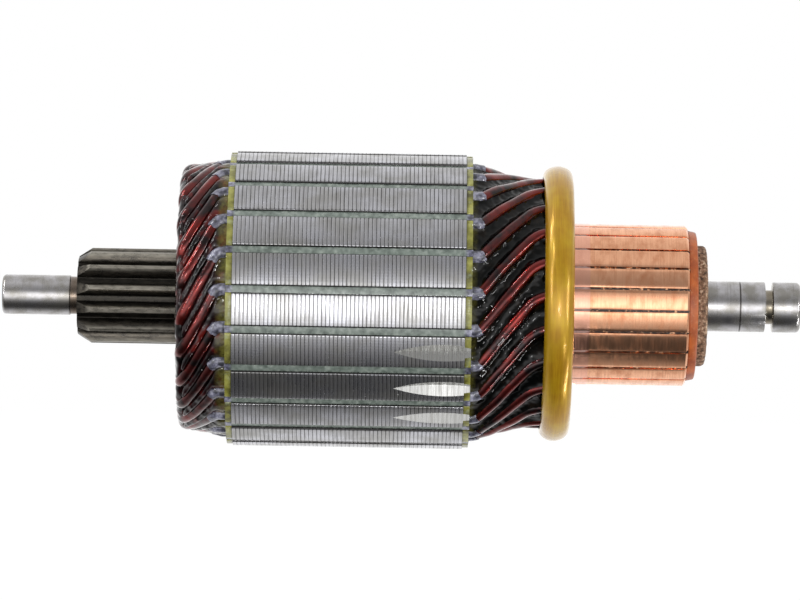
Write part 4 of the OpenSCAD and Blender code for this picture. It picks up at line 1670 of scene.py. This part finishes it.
@dataclass(frozen=True)
class Commutator(SubAssembly):
    """Copper bars with their risers, held by the moulded hub, with the end ring behind them."""

    sizes: Sizes
    gap: float = 0.5
    track_r: float = 16.0
    neck_r: float = 16.05
    foot_r: float = 13.8
    foot_h: float = 1.6
    foot_slant: float = 1.2
    riser_l: float = 4.4
    riser_w: float = 3.76
    riser_short: float = 0.7
    neck_l: float = 2.8
    edge: float = 0.09
    chamfer: float = 0.4
    undercut: float = 0.45
    shoulder_r: float = 15.0
    slit_play: float = 0.03
    strip_steps: int = 30

    @property
    def places(self) -> tuple[float, float, float, float, float]:
        """Stations of the riser, the neck, the brush track and the shoulder's two ends."""
        riser, shoulder = stations("commutator_bar_01", self.sizes.origin)
        ring = stations("commutator_end_ring", self.sizes.origin)[0]
        neck = riser + self.riser_l
        return riser, neck, neck + self.neck_l, shoulder, ring

    def foot(self, play: float) -> list[Point]:
        """Section of the dovetailed foot, from the riser to the shoulder."""
        riser, neck, _, shoulder, _ = self.places
        r, deep, slant = self.foot_r - play, self.foot_r - self.foot_h - play, self.foot_slant
        return [(r, riser - play), (r, neck + 0.6 - play),
                (deep, neck + 0.6 - slant - play), (deep, shoulder - 2 + slant + play),
                (r, shoulder - 2 + play), (r, shoulder + play)]

    def bar(self) -> bpy.types.Object:
        """Shapes one bar: a sector of the turned section, with its riser on top.

        Returns:
            The bar, with its middle at angle 0.
        """
        riser, neck, track, shoulder, _ = self.places
        c = self.chamfer
        section = self.foot(0) + [(self.track_r - c, shoulder), (self.track_r, shoulder - c),
                                  (self.track_r, track), (self.neck_r, track), (self.neck_r, riser)]
        half = math.radians(self.sizes.slot_step / 2) - math.asin(self.gap / 2 / self.track_r)
        turned = [(r * math.cos(-half), r * math.sin(-half), s) for r, s in section]
        bar = Bench.outline("bar", turned)
        bpy.ops.mesh.edge_face_add()
        bpy.ops.mesh.spin(steps=6, angle=-2 * half, center=(0, 0, 0), axis=(0, 0, 1))
        Bench.done(bar)
        sizes = self.sizes
        inside = sizes.wire_d / 2 + sizes.wire_play
        low = sizes.r_inner - sizes.lead_drop - inside
        top = sizes.r_outer - sizes.lead_drop + inside - 0.1
        w = self.riser_w / 2
        cup = [(self.foot_r + 0.4, -w * 0.92), (top, -w), (top, -inside), (low + inside, -inside)]
        cup += [(low + inside - inside * math.sin(a), -inside * math.cos(a))
                for a in (math.pi / 6, math.pi / 3, math.pi / 2)]
        cup += [(x, -y) for x, y in reversed(cup[:-1])]
        fork = Bench.outline("fork", [(x, y, riser + 0.001) for x, y in cup])
        bpy.ops.mesh.edge_face_add()
        Bench.raise_by(self.riser_l - self.riser_short)
        Bench.done(fork)
        Bench.combine(bar, fork, "UNION")
        return Bench.soften(bar, self.edge)

    def bars(self) -> list[bpy.types.Object]:
        """Shapes one bar and copies it round the hub."""
        first = self.bar()
        self.dress(first, CommutatorCopper(track=self.places[2] + self.sizes.origin))
        return [self.fit(bar, "commutator_copper", f"commutator_bar_{number}", smooth=40)
                for number, bar in self.copies(first, "copper_bar")]

    def strip(self, k: int) -> bpy.types.Object:
        """Moulds the strip after one bar: level at the neck, and uneven under the brush track.

        Args:
            k: Number of the bar, counted from 0.

        Returns:
            The strip, on the bench.
        """
        riser, _, track, shoulder, _ = self.places
        top = self.track_r - self.undercut + 0.25 * noise.noise(Vector((k * 2.31, 0.4, 0)))
        low = self.foot_r - self.foot_h - 0.3
        t = self.gap / 2 - self.slit_play
        corners = [(low, -t, riser), (top, -t, riser), (top, t, riser), (low, t, riser)]
        strip = Bench.outline("strip", corners)
        bpy.ops.mesh.edge_face_add()
        for _ in range(self.strip_steps):
            Bench.raise_by((shoulder - riser + 0.1) / self.strip_steps)
        Bench.done(strip)
        for vertex in strip.data.vertices:
            if vertex.co.x > low + 0.1 and vertex.co.z < track - 0.2:
                vertex.co.x = self.neck_r - 0.07
            elif vertex.co.x > low + 0.1:
                vertex.co.x += 0.45 * noise.noise(Vector((vertex.co.z / 1.4, k * 1.7, 3)))
        self.dress(strip, GapMicaDustAndGlints(track=track + self.sizes.origin))
        Bench.turn(strip, (k + 0.5) * self.sizes.slot_step)
        return strip

    def hub(self) -> bpy.types.Object:
        """Moulds the hub, with a strip between each two bars that ends below the brush track."""
        riser, _, _, shoulder, ring = self.places
        bore, edge = self.sizes.seat_r + 0.02, self.shoulder_r
        section = [(bore, riser - 0.9), (self.foot_r - 0.5, riser - 0.9),
                   (self.foot_r - 0.02, riser - 0.5), *self.foot(0.02)]
        section += [(edge - 0.25, shoulder + 0.02),
                    *rounded(0.25, (edge - 0.25, shoulder + 0.27), -60, 0, 3),
                    *rounded(0.35, (edge - 0.6, ring - 0.35), 0, 90, 4), (bore, ring)]
        hub = Bench.lathe("moulded_hub", section, steps=184)
        self.dress(hub, Phenolic())
        strips = [self.strip(k) for k in range(self.sizes.slots)]
        hub = Bench.join("moulded_hub", [hub, *strips])
        return self.fit(hub, "phenolic", "commutator_hub", smooth=35)

    def end_ring(self) -> bpy.types.Object:
        """Moulds the end ring and roughens it grain by grain."""
        low, high = stations("commutator_end_ring", self.sizes.origin)
        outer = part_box("commutator_end_ring")[1].z / MM - 0.06
        bore = self.sizes.seat_r + 0.02
        face = [(bore + (outer - 0.9 - bore) * k / 12, high - 0.08) for k in range(12)]
        side = [(outer, low + 0.02 + (high - low - 1.0) * k / 5) for k in range(5)]
        corner = rounded(0.9, (outer - 0.9, high - 0.98), 0, 90, 6)
        section = [(bore, low + 0.02)] + side + corner + face[::-1]
        ring = Bench.lathe("granular_end_ring", section, steps=256)
        for vertex in ring.data.vertices:
            at = vertex.co
            if at.xy.length > bore + 0.2 and at.z > low + 0.1:
                fine, coarse = drift(at / 0.45), drift(at / 1.3)
                vertex.co += fine * 0.07 + coarse * 0.06
        self.dress(ring, GranularMoulding())
        return self.fit(ring, "end_ring_moulding", "commutator_end_ring", smooth=60, angle=0)

    def build(self) -> list[bpy.types.Object]:
        """Puts the commutator together."""
        return [*self.bars(), self.hub(), self.end_ring()]


@dataclass(frozen=True)
class BandingRing(SubAssembly):
    """Resin-bound glass roving wound over the risers and the wires, with a round crown."""

    sizes: Sizes
    bore: float = 25.15
    height: float = 2.3
    short: float = 0.6

    def build(self) -> list[bpy.types.Object]:
        """Winds the ring."""
        low, high = stations("banding_ring", self.sizes.origin)
        width = high - low - self.short
        # shares of the height and of the width: a bead that is nearly half an ellipse
        arc = [math.pi * k / 28 for k in range(29)]
        crown = [(0.05 + 0.95 * math.sin(a) ** 0.95, 0.5 - 0.5 * math.cos(a)) for a in arc]
        shape = [(0.02, 0.0), *crown, (0.02, 1.0)]
        profile = [(self.bore + h * self.height, low + w * width) for h, w in shape]
        ring = Bench.lathe("banding_ring", profile, steps=288)
        for vertex in ring.data.vertices:
            at = vertex.co
            if at.xy.length > self.bore + 0.4:
                swell = noise.noise(Vector((at.x / 9, at.y / 9, at.z / 1.6))) * 0.07
                radial = Vector((at.x, at.y, 0)).normalized()
                vertex.co += radial * min(swell, 0.02) + Vector((0, 0, noise.noise(at / 5) * 0.1))
        self.dress(ring, GlassBanding())
        return [self.fit(ring, "glass_banding", "banding_ring", smooth=50, angle=0)]


# ---------------------------------------------------------------- the studio


@dataclass(frozen=True)
class Lamp:
    """A soft box that faces the object.

    Attributes:
        name: Name of the lamp.
        place: Its middle, in metres.
        size: Width and height in metres.
        level: Brightness of its face, where 1 is white.
    """

    name: str
    place: Spot
    size: Point
    level: float

    def hang(self) -> None:
        """Hangs the lamp."""
        data = bpy.data.lights.new(self.name, "AREA")
        data.shape, data.size, data.size_y = "RECTANGLE", *self.size
        data.energy = self.level * math.pi * self.size[0] * self.size[1]
        obj = bpy.data.objects.new(self.name, data)
        bpy.context.scene.collection.objects.link(obj)
        obj.location = self.place
        obj.rotation_euler = (-Vector(self.place)).to_track_quat("-Z", "Y").to_euler()
        obj.visible_camera = False


@dataclass(frozen=True)
class Studio:
    """A pale floor, soft light, and the camera square to the shaft.

    Attributes:
        distance: Distance of the camera from the shaft, in metres.
        aside: Place of the camera along X and Z, in metres.
        lens: Focal length in millimetres.
        roll: Turn of the camera about its own axis, in degrees.
        floor_z: Height of the floor, in metres.
        lamps: The lamps.
        levels: Brightness of the surroundings at angles about the shaft, in degrees, which
            start at -Y and turn towards -Z.
    """

    distance: float = 0.97
    aside: Point = (-0.00026, 0.00017)
    lens: float = 218.25
    roll: float = 1.0
    floor_z: float = -0.12
    lamps: tuple[Lamp, ...] = (
        Lamp("front_strip", (0.04, -1.1, -0.07), (0.16, 0.03), 70),
        Lamp("left_strip", (-0.85, -0.62, 0.3), (0.03, 0.5), 42),
        Lamp("right_strip", (0.9, -0.6, 0.05), (0.03, 0.5), 42),
        Lamp("under_strip", (0.7, -0.12, -0.8), (0.04, 0.5), 50),
        Lamp("over_strip", (-0.7, -0.15, 0.8), (0.04, 0.5), 40),
        Lamp("upper_left_spot", (-0.6, -0.6, 0.72), (0.06, 0.06), 90),
        Lamp("lower_right_spot", (0.6, -0.7, -0.6), (0.05, 0.05), 80))
    levels: tuple[Point, ...] = (
        (-180, 1.3), (-140, 1.1), (-108, 0.88), (-90, 0.76), (-68, 0.82), (-52, 0.55), (-34, 0.36),
        (-24, 0.38), (-16, 0.62), (-10, 1.4), (0, 2.3), (14, 2.0), (26, 0.75), (39, 0.22),
        (53, 0.07), (70, 0.05), (84, 0.06), (96, 0.32), (108, 0.62), (122, 0.95), (150, 1.05),
        (180, 1.3))

    def camera(self) -> None:
        """Sets the camera up."""
        data = bpy.data.cameras.new("camera")
        data.lens, data.sensor_width = self.lens, 36.0
        data.clip_start, data.clip_end = 0.01, 30
        obj = bpy.data.objects.new("camera", data)
        bpy.context.scene.collection.objects.link(obj)
        x, z = self.aside
        obj.matrix_world = (Matrix.Translation((x, -self.distance, z))
                            @ Matrix.Rotation(math.pi / 2, 4, "X")
                            @ Matrix.Rotation(math.radians(self.roll), 4, "Z"))
        bpy.context.scene.camera = obj

    def world(self) -> None:
        """Surrounds the object with soft grey levels, and a white backdrop behind it."""
        world = bpy.data.worlds.new("studio")
        bpy.context.scene.world = world
        tree = Tree(world)
        way = tree.add("SeparateXYZ", tree.add("TexCoord", out="Generated"))
        x, y, z = way.node.outputs
        angle = tree.math("ARCTAN2", tree.math("MULTIPLY", z, -1.0), tree.math("MULTIPLY", y, -1.0))
        turn = tree.add("MapRange", angle, -math.pi, math.pi, 0.0, 1.0)
        grey = tree.ramp(turn, *(((a + 180) / 360, level) for a, level in self.levels))
        # towards the ends of the shaft the levels run together
        aside = tree.math("POWER", tree.math("ABSOLUTE", x), 4.0)
        grey = tree.mix(aside, grey, "#CBCBCB")
        seen = tree.add("LightPath", out="Is Camera Ray")
        back = tree.add("Background", tree.mix(seen, grey, "#FFFFFF"), 1.0)
        tree.add("OutputWorld", back)

    def floor(self) -> None:
        """Lays the pale floor, which only the camera and the shadows see."""
        bpy.ops.mesh.primitive_plane_add(size=8, location=(0, 0, self.floor_z))
        floor = bpy.context.object
        floor.name = "floor"
        paint = bpy.data.materials.new("pale_floor")
        tree = Tree(paint)
        matt = tree.add("BsdfDiffuse", colour("#E6E6E6"))
        glow = tree.add("Emission", (1.0, 1.0, 1.0, 1.0), 1.1)
        seen = tree.math("MULTIPLY", tree.add("LightPath", out="Is Camera Ray"), 0.8)
        tree.add("OutputMaterial", tree.add("MixShader", seen, matt, glow))
        floor.data.materials.append(paint)
        floor.visible_glossy = floor.visible_diffuse = floor.visible_shadow = False

    def build(self) -> None:
        """Sets up the camera, the lamps, the world and the floor."""
        self.camera()
        self.world()
        self.floor()
        for lamp in self.lamps:
            lamp.hang()
        bpy.context.scene.view_settings.view_transform = "Standard"


def main() -> None:
    """Builds the armature piece by piece and the studio round it."""
    logging.basicConfig(level=logging.INFO, format="%(message)s")
    bpy.ops.object.select_all(action="DESELECT")
    sizes = Sizes()
    for kind in (Shaft, Core, Insulators, SlotLiners, Winding, Commutator, BandingRing):
        made = kind(sizes).build()
        LOG.info("%s: %d pieces", kind.__name__, len(made))
    Studio().build()


if __name__ == "__main__":
    main()
